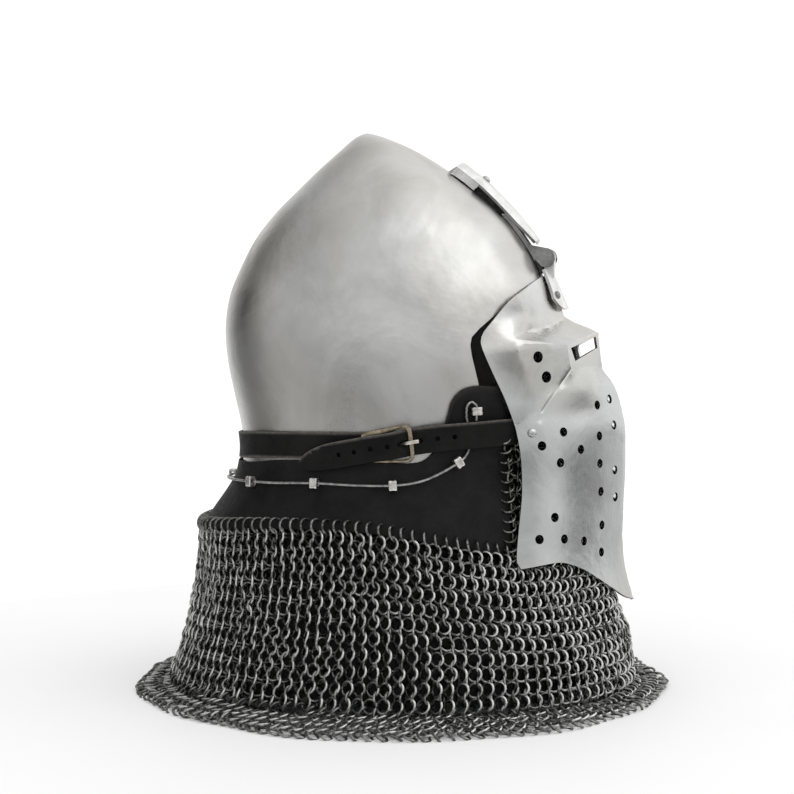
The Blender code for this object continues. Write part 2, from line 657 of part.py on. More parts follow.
def visor_lattice(spacing):
    """Side-view points spread evenly over the plate, row by row."""
    points = []
    z = VISOR_POINT + spacing / 2
    while z < VISOR_TOP:
        end = keel(z)
        samples = [VISOR_BACK + (end - VISOR_BACK) * i / 120 for i in range(121)]
        places = [on_visor(x, z) for x in samples]
        length = 0.0
        wanted = 0.0
        for a, b in zip(places, places[1:]):
            length += (b - a).length
            if length >= wanted:
                points.append((b.x, z))
                wanted += spacing
        z += spacing * 0.9
    return points


def visor_outline():
    rear = smooth([(keel(VISOR_TOP), VISOR_TOP)] + list(VISOR_REAR), 0.0070)
    foot = smooth(list(VISOR_FOOT) + [(keel(VISOR_POINT), VISOR_POINT)], 0.0070)
    steps = 30
    levels = [VISOR_POINT + (VISOR_TOP - VISOR_POINT) * i / steps for i in range(1, steps)]
    levels = [z for z in levels if min(abs(z - end) for end in RIDGE_CORNERS) > 0.0030]
    ridge = [(keel(z), z) for z in sorted(levels + list(RIDGE_CORNERS))]
    return [tuple(p) for p in rear] + [tuple(p) for p in foot] + ridge


def make_visor(look):
    chin, brow, root = [(keel(z), z) for z in RIDGE_CORNERS]
    creases = (
        (TEMPLE, SIGHT_CORNER, brow),
        (SIGHT_CORNER, SIGHT_LOWER, chin),
        (SIGHT_LOWER,) + CHEEK_CREASE + (TEMPLE,),
        (TEMPLE, BROW_CREASE, root),
    )
    guides = []
    for crease in creases:
        line = [Vector(crease[0])]
        for a, b in zip(crease, crease[1:]):
            steps = max(1, round((Vector(b) - Vector(a)).length / 0.008))
            line += [Vector(a).lerp(Vector(b), (i + 1) / steps) for i in range(steps)]
        guides.append([tuple(p) for p in line])
    holes = [round_hole(x, z, BREATH_HOLE) for x, z in BREATHS]
    holes += [round_hole(x, z, SIDE_HOLE, 12) for x, z in SIDE_HOLES]
    holes.append(round_hole(*STRAP_RIVET, RIVET_HOLE, 8))
    holes.append(list(SIGHT))
    flat, faces = sheet(visor_outline(), holes, guides, visor_lattice(VISOR_CELL), on_visor, 0.0036)
    points = [on_visor(*p) for p in flat]
    count = len(points)
    left = [Vector((p.x, -p.y, p.z)) for p in points]
    faces += [tuple(i + count for i in reversed(face)) for face in faces]
    points, faces = weld(points + left, faces)
    inner = inward(points, faces, VISOR_WALL)
    visor = solid("visor", *skins(points, inner, faces), look)
    return visor


def weld(points, faces):
    """The mesh with the points that share a place made one, and loose points left out."""
    seen, kept, joined = {}, [], []
    for face in faces:
        corners = []
        for i in face:
            key = tuple(round(value, 6) + 0.0 for value in points[i])
            if key not in seen:
                seen[key] = len(kept)
                kept.append(points[i])
            corners.append(seen[key])
        if len(set(corners)) == len(corners):
            joined.append(tuple(corners))
    return kept, joined


# ---------------------------------------------------------------- hinge

def arc(centre, radius, start, end, steps):
    """Side-view points round a centre, angles in degrees from +x towards +z."""
    points = []
    for i in range(steps + 1):
        angle = math.radians(start + (end - start) * i / steps)
        points.append((centre[0] + radius * math.cos(angle), centre[1] + radius * math.sin(angle)))
    return points


def skull_front(z):
    return between(SKULL_SECTIONS, z)[1]


def pin_bore(name):
    """The cutter of the pin's hole, longer than the hinge is wide."""
    bore = arc((HINGE.x, HINGE.z), PIN_RADIUS + GAP, 0, 330, 11)
    return prism(name, bore, -2 * HINGE_HALF, 2 * HINGE_HALF)


def make_bracket(look):
    across = [HINGE_HALF * (i / 4 - 1) for i in range(9)]
    outer = []
    for x, z in BRACKET_LINE:
        for y in across:
            dip = between(BRACKET_CROWN, x)[0] * (y / HINGE_HALF) ** 2
            outer.append(Vector((x, y, z)) + BRACKET_DOWN * dip)
    faces = [face[::-1] for face in grid(len(BRACKET_LINE), len(across))]
    inner = inward(outer, faces, BRACKET_WALL)
    bracket = solid("hinge_bracket", *skins(outer, inner, faces), look)
    for side, name in ((-1, "right_flange"), (1, "left_flange")):
        low, high = sorted((side * (HINGE_HALF - FLANGE_STEP), side * (HINGE_HALF - BRACKET_WALL)))
        combine(bracket, prism(name, list(BRACKET_FLANGE), low, high), "UNION")
    core = prism("bracket_core", list(BRACKET_CORE), -CORE_HALF, CORE_HALF)
    combine(bracket, core, "UNION")
    return bracket


def make_hinge_strap(look):
    """The strip riveted to the skull, with the two outer knuckles."""
    across = [STRIP_HALF * (i / 3 - 1) for i in range(7)]
    levels = [STRIP_END + (STRIP_TOP - STRIP_END) * i / 5 for i in range(6)]
    inner, outer = [], []
    for z in levels:
        back, front, half = between(SKULL_SECTIONS, z)
        for y in across:
            middle, reach = (back + front) / 2, (front - back) / 2
            x = middle + reach * (1 - abs(y / half) ** SKULL_POWER) ** (1 / SKULL_POWER)
            fall = (skull_front(z + STEP) - skull_front(z - STEP)) / (2 * STEP)
            normal = Vector((1.0, 0.0, -fall)).normalized()
            inner.append(Vector((x, y, z)) + normal * STRIP_LIFT)
            outer.append(Vector((x, y, z)) + normal * (STRIP_LIFT + STRIP_WALL))
    strip = solid("hinge_strap", *skins(outer, inner, grid(len(levels), len(across))), look)
    drop = list(NECK) + arc((HINGE.x, HINGE.z), STRIP_DROP, 88, -112, 10)
    ends = HINGE_HALF - KNUCKLE_STEP
    combine(strip, prism("knuckles", drop, -ends, ends), "UNION")
    room = arc((HINGE.x, HINGE.z), KNUCKLE_RADIUS + 2 * GAP, 0, 345, 23)
    combine(strip, prism("knuckle_room", room, -KNUCKLE_HALF, KNUCKLE_HALF), "DIFFERENCE")
    combine(strip, pin_bore("pin_bore"), "DIFFERENCE")
    return strip


def leaf_place(y, z, lift):
    """A point over the face guard's brow, by its lift."""
    ridge, rear, width, power = between(FOREHEAD_SECTIONS, z)
    x = ridge - (ridge - rear) * (1 - (1 - abs(y) / width) ** (1 / power))
    if y:
        normal = visor_normal(x, z)
        normal.y = math.copysign(normal.y, y)
    else:
        fall = (keel(z + STEP) - keel(z - STEP)) / (2 * STEP)
        normal = Vector((1.0, 0.0, -fall)).normalized()
    return Vector((x, y, z)) + normal * lift


def leaf_lift(z):
    """How far the leaf's underside stands off the brow."""
    return between(((LEAF_END, LEAF_LIFT[1]), (LEAF_TOP, LEAF_LIFT[0])), z)[0]


def leaf_half(z):
    return between(((LEAF_END, LEAF_HALF[0]), (LEAF_TOP, LEAF_HALF[1])), z)[0]


def make_leaf(look):
    """The hinge's lower leaf, riveted to the face guard, with the middle knuckle."""
    across = [i / 5 - 1 for i in range(11)]
    levels = 6
    inner, outer = [], []
    for i in range(levels + 1):
        for share in across:
            end = LEAF_END + LEAF_ROUND * abs(share) ** LEAF_CURVE
            z = end + (LEAF_TOP - end) * i / levels
            y = share * leaf_half(z)
            inner.append(leaf_place(y, z, leaf_lift(z)))
            outer.append(leaf_place(y, z, leaf_lift(z) + LEAF_WALL))
    leaf = solid("hinge_leaf", *skins(outer, inner, grid(levels + 1, len(across))), look)
    half = KNUCKLE_HALF - GAP
    barrel = arc((HINGE.x, HINGE.z), KNUCKLE_RADIUS, 0, 250, 12)
    combine(leaf, prism("middle_knuckle", barrel + list(LEAF_NECK), -half, half), "UNION")
    combine(leaf, pin_bore("leaf_bore"), "DIFFERENCE")
    return leaf


def make_pin(look):
    end = HINGE_HALF - PIN_DEPTH
    profile = ((PIN_RADIUS, -end), (PIN_RADIUS, end))
    return lathe("hinge_pin", profile, HINGE, (0, 1, 0), look, steps=12)


# ---------------------------------------------------------------- leather band

def flank(x, z, side, lift=0.0):
    """A point on the band's outer face at the side of the head."""
    back, front, half = between(LEATHER_SECTIONS, z)
    middle, reach = (back + front) / 2, (front - back) / 2
    at = min(x, LEATHER_STRAIGHT)
    t = min(abs(at - middle) / reach, 0.9999)
    y = half * (1 - t**LEATHER_POWER) ** (1 / LEATHER_POWER)
    fall = -(half / reach) * (t / (y / half)) ** (LEATHER_POWER - 1) * math.copysign(1, at - middle)
    y += fall * (x - at)
    normal = Vector((-fall, 1.0)).normalized()
    return Vector((x + normal.x * lift, side * (y + normal.y * lift), z))


def band_place(share, z, side):
    """A point on the band, from the middle of the back (0) to the front edge (1)."""
    back, front, half = between(LEATHER_SECTIONS, z)
    middle, reach = (back + front) / 2, (front - back) / 2
    last = math.acos(((LEATHER_STRAIGHT - middle) / reach) ** (LEATHER_POWER / 2))
    if share <= LEATHER_BEND:
        angle = math.pi - (math.pi - last) * share / LEATHER_BEND
        place = oval(z, angle, LEATHER_SECTIONS, LEATHER_POWER)
        return Vector((place.x, side * place.y, z))
    end = between(LEATHER_FRONT, z)[0]
    ahead = (share - LEATHER_BEND) / (1 - LEATHER_BEND)
    return flank(LEATHER_STRAIGHT + (end - LEATHER_STRAIGHT) * ahead, z, side)


def band_edges(share):
    """Heights of the band's lower and upper edges at a share of its half length."""
    return between(LEATHER_EDGES, band_place(share, LEATHER_MIDDLE, 1).x)


def edge_over(place):
    """Height of the band's lower edge in the same direction from the origin."""
    wanted = math.atan2(abs(place.y), place.x)

    def turn(share):
        spot = band_place(share, LEATHER_FOOT, 1)
        return abs(math.atan2(spot.y, spot.x) - wanted)

    return band_edges(min((i / 200 for i in range(201)), key=turn))[0]


def make_leather(look):
    levels = 5
    shares = [LEATHER_BEND * i / 19 for i in range(20)] + [(1 + LEATHER_BEND) / 2, 1.0]
    stations = [(s, 1) for s in reversed(shares)] + [(s, -1) for s in shares[1:]]
    outer = []
    for level in range(levels + 1):
        for share, side in stations:
            low, high = band_edges(share)
            outer.append(band_place(share, low + (high - low) * level / levels, side))
    faces = grid(levels + 1, len(stations))
    inner = inward(outer, faces, LEATHER)
    return solid("aventail_leather", *skins(outer, inner, faces), look)


# ---------------------------------------------------------------- vervelles and wire

def ring_lug(name, place, level, upright, normal, look):
    along, up, out = VERVELLE_SIZE
    sides = 8
    outer = [Vector(p) for p in circle(1.0, sides)]
    points = []
    for radius_out, radius_up, shift in (
        (out / 2, up / 2, -0.5), (out / 2, up / 2, 0.5),
        (VERVELLE_BORE, VERVELLE_BORE, 0.5), (VERVELLE_BORE, VERVELLE_BORE, -0.5),
    ):
        for p in outer:
            points.append(
                place + level * along * shift + normal * p.x * radius_out + upright * p.y * radius_up
            )
    faces = []
    for row in range(4):
        below, above = row * sides, ((row + 1) % 4) * sides
        for i in range(sides):
            after = (i + 1) % sides
            faces.append((below + i, below + after, above + after, above + i))
    return solid(name, points, faces, look)


def make_vervelles(look):
    """Short drilled lugs that stand on the band; the wire runs through them."""
    for side, word in ((-1, "right"), (1, "left")):
        places = [flank(x, z, side, lift) for x, z, lift in WIRE_ROUTE]
        for number, index in enumerate(VERVELLES):
            place = places[index]
            x, z, lift = WIRE_ROUTE[index]
            normal = (flank(x, z, side, lift + VERVELLE_SIZE[2]) - place).normalized()
            along = places[index + 1] - places[max(index - 1, 0)]
            level = (along - normal * along.dot(normal)).normalized()
            upright = normal.cross(level)
            ring_lug(f"vervelle_{word}_{number + 1}", place, level, upright, normal, look)
    place = band_place(0.0, WIRE_BACK, 1) - Vector((WIRE_STAND, 0, 0))
    ring_lug("vervelle_back", place, Vector((0, 1, 0)), Vector((0, 0, 1)), Vector((-1, 0, 0)), look)


def make_wire(look):
    right = smooth([flank(x, z, -1, lift) for x, z, lift in WIRE_ROUTE], 0.0100)
    left = [Vector((p.x, -p.y, p.z)) for p in right]
    back = []
    for i in range(1, 12):
        share = WIRE_REACH * (1 - i / 6)
        z = WIRE_BACK + WIRE_RISE * abs(share)
        place = band_place(abs(share), z, math.copysign(1, share))
        away = Vector((place.x - WIRE_CENTRE, place.y, 0)).normalized()
        back.append(place + away * WIRE_STAND)
    route = list(reversed(left)) + back + right
    return tube("retaining_wire", route, WIRE_RADIUS, look, sides=4)


# ---------------------------------------------------------------- straps and buckle

def around_back(angle, z, lift):
    """A point off the skull's back, by its angle and lift."""
    back, front, half = between(SKULL_SECTIONS, z)
    reach = (front - back) / 2
    place = oval(z, angle, SKULL_SECTIONS, SKULL_POWER)
    across = abs(math.cos(angle)) ** (2 - 2 / SKULL_POWER) / reach
    along = abs(math.sin(angle)) ** (2 - 2 / SKULL_POWER) / half
    normal = Vector((math.copysign(across, math.cos(angle)),
                     math.copysign(along, math.sin(angle)), 0)).normalized()
    return place + normal * lift


def make_strap(look):
    """From the left cheek, round the back of the head, to the buckle."""
    stations = []
    left = smooth(STRAP_ROUTE, 0.0100)
    for x, z, lift in left:
        stations.append(lambda dz, up, x=x, z=z, lift=lift: seat(x, z + dz, lift + up, 1))
    start_x, start_z, lift = STRAP_ROUTE[-1]
    back, front, _ = between(SKULL_SECTIONS, start_z)
    turn = ((back + front) / 2 - start_x) / ((front - back) / 2)
    spread = math.acos(turn ** (SKULL_POWER / 2))
    steps = 11
    for i in range(1, steps):
        angle = math.pi - spread + 2 * spread * i / steps
        share = abs(angle - math.pi) / spread
        z = STRAP_BACK + (start_z - STRAP_BACK) * share**2
        stations.append(
            lambda dz, up, angle=angle, z=z, lift=lift: around_back(angle, z + dz, lift + up)
        )
    for x, z, lift in reversed(left):
        if x < STRAP_END - STRAP_LAST:
            stations.append(lambda dz, up, x=x, z=z, lift=lift: seat(x, z + dz, lift + up, -1))
    end_z = STRAP_ROUTE[-3][1]
    stations.append(lambda dz, up: seat(STRAP_END, end_z + dz, SEAT + up, -1))
    rows = [STRAP_WIDTH * (i / 3 - 0.5) for i in range(4)]
    outer = [station(dz, STRAP) for dz in rows for station in stations]
    inner = [station(dz, 0.0) for dz in rows for station in stations]
    faces = grid(len(rows), len(stations))
    return solid("strap_long", *skins(outer, inner, faces), look)


def billet_path():
    """Middle line of the billet with its length so far: (length, x, z, lift)."""
    line = smooth(BILLET_ROUTE, 0.0030)
    length, path = 0.0, []
    for i, point in enumerate(line):
        if i:
            length += (seat(*point) - seat(*line[i - 1])).length
        path.append((length, *point))
    return path


def make_billet(look):
    """From the right cheek, through the buckle, to its pointed end."""
    path = billet_path()
    total, half = path[-1][0], BILLET_WIDTH / 2

    def over(length, across, up=STRAP):
        x, z, lift = between(path, length)
        ahead = between(path, min(length + RUN, total))
        behind = between(path, max(length - RUN, 0.0))
        run = (Vector(ahead[:2]) - Vector(behind[:2])).normalized()
        return seat(x + run.y * across, z - run.x * across, lift + up)

    def edge(side, run, steps):
        runs = round((total - run) / BILLET_CELL)
        line = [((total - run) * i / runs, side * half) for i in range(runs)]
        for i in range(steps):
            turn = i / steps * math.pi / 2
            reach = (side * half + BILLET_DROP) * math.cos(turn) ** BILLET_CURVE
            line.append((total - run * (1 - math.sin(turn)), reach - BILLET_DROP))
        return line

    outline = edge(-1, BILLET_TIP[0], 4) + [(total, -BILLET_DROP)]
    outline += reversed(edge(1, BILLET_TIP[1], 7))
    tongue_at = min(path, key=lambda row: abs(row[1] - TONGUE_AT))[0]
    holes = []
    for i in range(BILLET_HOLES[0], BILLET_HOLES[1] + 1):
        middle = tongue_at + i * BILLET_PITCH
        longer = (TONGUE_SLOT - BILLET_HOLE) / 2 if i == 0 else 0.0
        holes.append([
            (middle + u + math.copysign(longer, u), v * (SLOT_HEIGHT if i == 0 else 1.0))
            for u, v in circle(BILLET_HOLE / 2, 8)
        ])
    lengths = np.arange(BILLET_CELL / 2, total, BILLET_CELL)
    rows = [(u, v) for u in lengths for v in (-BILLET_ROW, 0.0, BILLET_ROW)]
    flat, faces = sheet(outline, holes, [], rows, over, 0.0028)
    used = sorted({i for face in faces for i in face})
    flat = [flat[i] for i in used]
    faces = [tuple(used.index(i) for i in face) for face in faces]
    outer = [over(u, v) for u, v in flat]
    inner = [over(u, v, 0.0) for u, v in flat]
    return solid("strap_billet", *skins(outer, inner, faces), look)


def make_buckle(look):
    route = smooth([seat(*row) for row in BUCKLE], 0.0050, closed=True)
    return tube("buckle_frame", route, BUCKLE_WIRE, look, closed=True, sides=8)


def make_tongue(look):
    route = smooth([seat(*row) for row in TONGUE], 0.0030)
    return tube("buckle_tongue", route, TONGUE_RADIUS, look, sides=8)


# ---------------------------------------------------------------- mail curtain

def mail_place(angle, z, inset=0.0):
    back, front, half, power = between(MAIL_SECTIONS, z)
    cosine, sine = math.cos(angle), math.sin(angle)
    bend = power if cosine > 0 else MAIL_BACK_POWER
    reach = front if cosine > 0 else -back
    x = (reach - inset) * math.copysign(abs(cosine) ** (2 / bend), cosine)
    y = (half - inset) * math.copysign(abs(sine) ** (2 / bend), sine)
    return Vector((x, y, z))


def make_mail(look):
    """The curtain: a brim that lies flat, a skirt up to the leather and a panel at the chin."""
    panel = 10
    edge = math.radians(MAIL_PANEL)
    skirt = 30
    angles = [-edge + 2 * edge * i / panel for i in range(panel)]
    angles += [edge + (2 * math.pi - 2 * edge) * i / skirt for i in range(skirt)]
    columns = len(angles)
    low_rows, high_rows = 8, 4
    outer, inner = [], []
    for z, inset in MAIL_BRIM:
        for angle in angles:
            outer.append(mail_place(angle, z))
            under = mail_place(angle, z, inset)
            inner.append(Vector((under.x, under.y, 0.0)))
    foot = MAIL_SECTIONS[2][0]
    for row in range(low_rows + 1):
        for i, angle in enumerate(angles):
            top = MAIL_CHIN
            if i > panel:
                top = edge_over(mail_place(angle, LEATHER_FOOT)) - MAIL_DROP
            z = foot + (top - foot) * row / low_rows
            outer.append(mail_place(angle, z))
            inner.append(mail_place(angle, z, MAIL))
            if row == 0:
                inner[-1].z = 0.0
    start = len(outer) // columns
    for row in range(1, high_rows + 1):
        z = MAIL_CHIN + (MAIL_TOP - MAIL_CHIN) * row / high_rows
        for angle in angles:
            outer.append(mail_place(angle, z))
            inner.append(mail_place(angle, z, MAIL))
    faces = []
    for face in grid(start + high_rows, columns, ring=True):
        row, column = divmod(face[0], columns)
        if row < start - 1 or column < panel:
            faces.append(face)
    used = sorted({i for face in faces for i in face})
    place = {old: new for new, old in enumerate(used)}
    faces = [tuple(place[i] for i in face) for face in faces]
    outer, inner = [outer[i] for i in used], [inner[i] for i in used]
    return solid("mail_aventail", *skins(outer, inner, faces), look)


# ---------------------------------------------------------------- rivets and assembly

def cap(name, place, normal, look, size=1.0, shank=0.0):
    """A domed rivet head, with a shank below it where it goes through a plate."""
    profile = [(radius * size, height * size) for radius, height in RIVET]
    if shank:
        profile = [(RIVET_SHANK, -shank), (RIVET_SHANK, 0.0)] + profile
    return lathe(name, profile, place, normal, look, steps=10)


def main():
    for old in list(bpy.data.objects):
        bpy.data.objects.remove(old, do_unlink=True)

    steel = material("polished_steel", (0.62, 0.63, 0.63), 0.28, 1.0)
    dark_steel = material("wire_steel", (0.42, 0.42, 0.41), 0.35, 1.0)
    leather = material("black_leather", (0.045, 0.043, 0.043), 0.62, 0.0)
    brass = material("aged_brass", (0.52, 0.47, 0.38), 0.38, 1.0)
    rings = material("mail", (0.33, 0.33, 0.33), 0.40, 0.9)

    make_skull(steel)
    make_bracket(steel)
    line = [Vector(p) for p in BRACKET_LINE]
    across = line[BRACKET_RIVET] - line[BRACKET_RIVET - 2]
    normal = Vector((-across.y, 0, across.x))
    head = line[BRACKET_RIVET - 1]
    place = Vector((head.x, 0, head.y)) + normal.normalized() * GAP
    cap("bracket_rivet", place, normal, steel, LARGE_HEAD)
    make_hinge_strap(steel)
    make_pin(steel)
    make_leather(leather)
    make_vervelles(brass)
    make_wire(dark_steel)
    make_strap(leather)
    make_billet(leather)
    make_buckle(brass)
    make_tongue(steel)
    make_mail(rings)

    axis = bpy.data.objects.new("visor_axis", None)
    axis.location = HINGE
    bpy.context.collection.objects.link(axis)
    moving = [make_visor(steel), make_leaf(steel)]
    across, z = LEAF_RIVET
    for y, word in ((-across, "right"), (across, "left")):
        stand = leaf_place(y, z, leaf_lift(z) + LEAF_WALL + GAP)
        moving.append(cap(f"leaf_rivet_{word}", stand, stand - leaf_place(y, z, 0.0), steel))
    x, z = STRAP_RIVET
    for side, word in ((1, "right"), (-1, "left")):
        place, normal = on_visor(x, z), visor_normal(x, z)
        place, normal = (Vector((v.x, side * v.y, v.z)) for v in (place, normal))
        place += normal * RIVET_LIFT
        moving.append(cap(f"visor_rivet_{word}", place, normal, steel, LARGE_HEAD, CHEEK_SHANK))
    for piece in moving:
        piece.parent = axis
        piece.location = -HINGE


main()
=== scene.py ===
"""The looks of a bascinet: pointed steel skull, hinged face guard and mail curtain.

Metres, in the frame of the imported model: +X is the wearer's front, +Y the wearer's left.
"""

import math
import random

import bmesh
import bpy
import numpy as np
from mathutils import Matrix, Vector
from mathutils.geometry import delaunay_2d_cdt


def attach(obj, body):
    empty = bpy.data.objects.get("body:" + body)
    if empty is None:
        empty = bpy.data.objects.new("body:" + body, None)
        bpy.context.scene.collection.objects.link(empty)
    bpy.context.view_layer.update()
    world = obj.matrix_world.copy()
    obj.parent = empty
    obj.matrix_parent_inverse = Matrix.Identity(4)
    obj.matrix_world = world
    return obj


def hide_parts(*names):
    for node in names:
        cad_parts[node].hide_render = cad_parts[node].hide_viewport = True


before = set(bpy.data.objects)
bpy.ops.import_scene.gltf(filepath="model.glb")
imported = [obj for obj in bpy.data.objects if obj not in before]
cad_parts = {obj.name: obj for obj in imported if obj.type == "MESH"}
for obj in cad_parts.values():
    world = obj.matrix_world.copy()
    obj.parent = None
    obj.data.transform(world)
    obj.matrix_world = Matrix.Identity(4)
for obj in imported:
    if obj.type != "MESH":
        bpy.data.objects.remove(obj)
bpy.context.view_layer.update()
dice = random.Random(14)

# ---------------------------------------------------------------- dimensions of the part
SKULL_WALL = 0.0020
SKULL_POWER = 2.2
SKULL_SECTIONS = (
    # z, back x, front x, half width
    (0.1500, -0.1305, 0.1120, 0.1040),
    (0.1650, -0.1265, 0.1120, 0.1020),
    (0.1850, -0.1235, 0.1130, 0.1000),
    (0.2050, -0.1258, 0.1150, 0.1005),
    (0.2300, -0.1315, 0.1180, 0.1020),
    (0.2550, -0.1365, 0.1195, 0.1030),
    (0.2800, -0.1382, 0.1190, 0.1025),
    (0.3050, -0.1345, 0.1155, 0.0990),
    (0.3250, -0.1265, 0.1085, 0.0935),
    (0.3480, -0.1145, 0.0950, 0.0850),
    (0.3680, -0.0990, 0.0785, 0.0740),
    (0.3880, -0.0790, 0.0550, 0.0605),
    (0.4040, -0.0625, 0.0330, 0.0460),
    (0.4180, -0.0470, 0.0095, 0.0300),
    (0.4270, -0.0370, -0.0110, 0.0150),
    (0.4303, -0.0312, -0.0210, 0.0062),
    (0.4315, -0.0275, -0.0265, 0.0008),
)
FACE_CUT = 0.13                 # half width of the cut that makes the face opening
FACE_OPENING = (
    # x, z of the skull's opening seen from the side, brow first
    (0.1300, 0.3150), (0.1080, 0.3105), (0.0935, 0.3006), (0.0856, 0.2925),
    (0.0721, 0.2801), (0.0665, 0.2735), (0.0655, 0.2675), (0.0665, 0.2600),
    (0.0681, 0.2530), (0.0715, 0.2375), (0.0760, 0.2100), (0.0820, 0.1450),
    (0.1600, 0.1300), (0.1600, 0.3150),
)

VISOR_WALL = 0.0020
FOREHEAD_SECTIONS = (
    # z, keel x, rear x, half width, power: the plate that lies over the skull's brow
    (0.2620, 0.1180, 0.0550, 0.0800, 2.6),
    (0.2720, 0.1270, 0.0550, 0.0868, 2.6),
    (0.2800, 0.1300, 0.0550, 0.0882, 2.6),
    (0.2900, 0.1275, 0.0550, 0.0869, 2.8),
    (0.3000, 0.1240, 0.0550, 0.0841, 3.3),
    (0.3100, 0.1205, 0.0550, 0.0819, 3.6),
    (0.3200, 0.1165, 0.0550, 0.0778, 3.8),
    (0.3300, 0.1125, 0.0550, 0.0740, 3.8),
)
CHEEK_X = 0.0900
CHEEK_SECTIONS = (
    # z, half width at CHEEK_X, inward slope towards the front
    (0.1900, 0.0760, 0.800),
    (0.2050, 0.0840, 0.800),
    (0.2180, 0.0865, 0.690),
    (0.2300, 0.0852, 0.610),
    (0.2500, 0.0838, 0.430),
    (0.2720, 0.0851, 0.175),
    (0.3000, 0.0851, 0.100),
)
BREATH_SECTIONS = (
    # z, keel x, rear x, half width, power: the keeled bulge over mouth and chin
    (0.0700, 0.1825, 0.0950, 0.0930, 1.95),
    (0.0840, 0.1786, 0.0950, 0.0920, 1.95),
    (0.0980, 0.1755, 0.0950, 0.0905, 1.95),
    (0.1150, 0.1738, 0.0950, 0.0880, 1.95),
    (0.1430, 0.1744, 0.0950, 0.0840, 1.95),
    (0.1570, 0.1752, 0.0950, 0.0822, 1.95),
    (0.1710, 0.1758, 0.0950, 0.0815, 1.95),
    (0.1900, 0.1757, 0.0950, 0.0815, 1.95),
    (0.2050, 0.1750, 0.0950, 0.0795, 1.95),
    (0.2180, 0.1725, 0.0950, 0.0765, 1.95),
    (0.2315, 0.1682, 0.0950, 0.0700, 2.50),
    (0.2400, 0.1635, 0.0950, 0.0610, 3.40),
    (0.2490, 0.1560, 0.0950, 0.0545, 4.50),
    (0.2620, 0.1440, 0.0950, 0.0400, 4.50),
    (0.2700, 0.1300, 0.0950, 0.0200, 4.50),
)
SIGHT_PLANES = (
    # normal x, |y|, z and distance from the origin: the box that holds the sights
    (0.6546, 0.7556, 0.0216, 0.13250),
    (0.3531, 0.3037, 0.8849, 0.29940),
    (0.9186, 0.3813, 0.1029, 0.17005),
)
RIDGE_CORNERS = (0.2510, 0.2755, 0.2878)   # z where the box's edges meet the middle ridge
SIGHT_TOP, SIGHT_BOTTOM = 0.2900, 0.1950
TEMPLE_FLOW = (0.1045, 0.0965), (0.2620, 0.2920)   # x, z over which box and brow run together
CREASES = (
    # x, z along the edges between the box's faces, and the dent in the brow
    ((0.0965, 0.2721), (0.1336, 0.2672), "brow"),
    ((0.1336, 0.2672), (0.1365, 0.2493), "chin"),
    ((0.1365, 0.2493), (0.1165, 0.2182), (0.1126, 0.2345), (0.1050, 0.2530), (0.0965, 0.2721)),
    ((0.0965, 0.2721), (0.1090, 0.2804), "root"),
)
CREASE_GROOVE = 0.0014, 0.0007      # half width and depth of the grooved crease
GROOVED = ((0.1365, 0.2493), (0.1165, 0.2182), (0.1140, 0.2092))   # x, z along it
BROW_DENT = (0.1062, 0.2930), (0.0036, 0.0130), 0.0009   # x, z, half sizes, depth
VISOR_REAR = (
    # x, z down the visor's rear edge, from beside the hinge to the lower corner
    (0.1116, 0.3183), (0.1026, 0.3085), (0.0937, 0.2999), (0.0809, 0.2845),
    (0.0750, 0.2768), (0.0733, 0.2712), (0.0743, 0.2655), (0.0815, 0.2487),
    (0.0908, 0.2282), (0.0970, 0.2104), (0.1016, 0.1906), (0.1031, 0.1729),
    (0.1032, 0.1546), (0.1014, 0.1328), (0.1003, 0.1154), (0.1004, 0.1085),
)
VISOR_FOOT = (
    # x, z along the visor's lower edge, from the rear corner to the point
    (0.1035, 0.1036), (0.1129, 0.1050), (0.1257, 0.1066), (0.1339, 0.1060),
    (0.1450, 0.1007), (0.1547, 0.0930), (0.1674, 0.0815), (0.1760, 0.0736),
)
VISOR_POINT, VISOR_TOP = 0.0700, 0.3205
VISOR_REACH = 0.0700            # x behind every point of the visor
BREATH_HOLE = 0.0070
BREATHS = (
    # x, z of each round breath on one side
    (0.1551, 0.2214), (0.1634, 0.2253), (0.1670, 0.2055), (0.1570, 0.1982),
    (0.1321, 0.2029), (0.1172, 0.1933), (0.1443, 0.1892), (0.1302, 0.1803),
    (0.1575, 0.1773), (0.1680, 0.1710), (0.1583, 0.1559), (0.1684, 0.1500),
    (0.1266, 0.1401), (0.1591, 0.1302), (0.1161, 0.1247), (0.1334, 0.1236),
    (0.1468, 0.1203), (0.1589, 0.1098),
)
SIDE_HOLE = 0.0086
SIDE_HOLES = ((0.1136, 0.2586), (0.1195, 0.2437))
SIGHT = ((0.1362, 0.2648), (0.1523, 0.2728), (0.1536, 0.2642), (0.1392, 0.2550))
STRAP_RIVET = (0.1100, 0.2030)

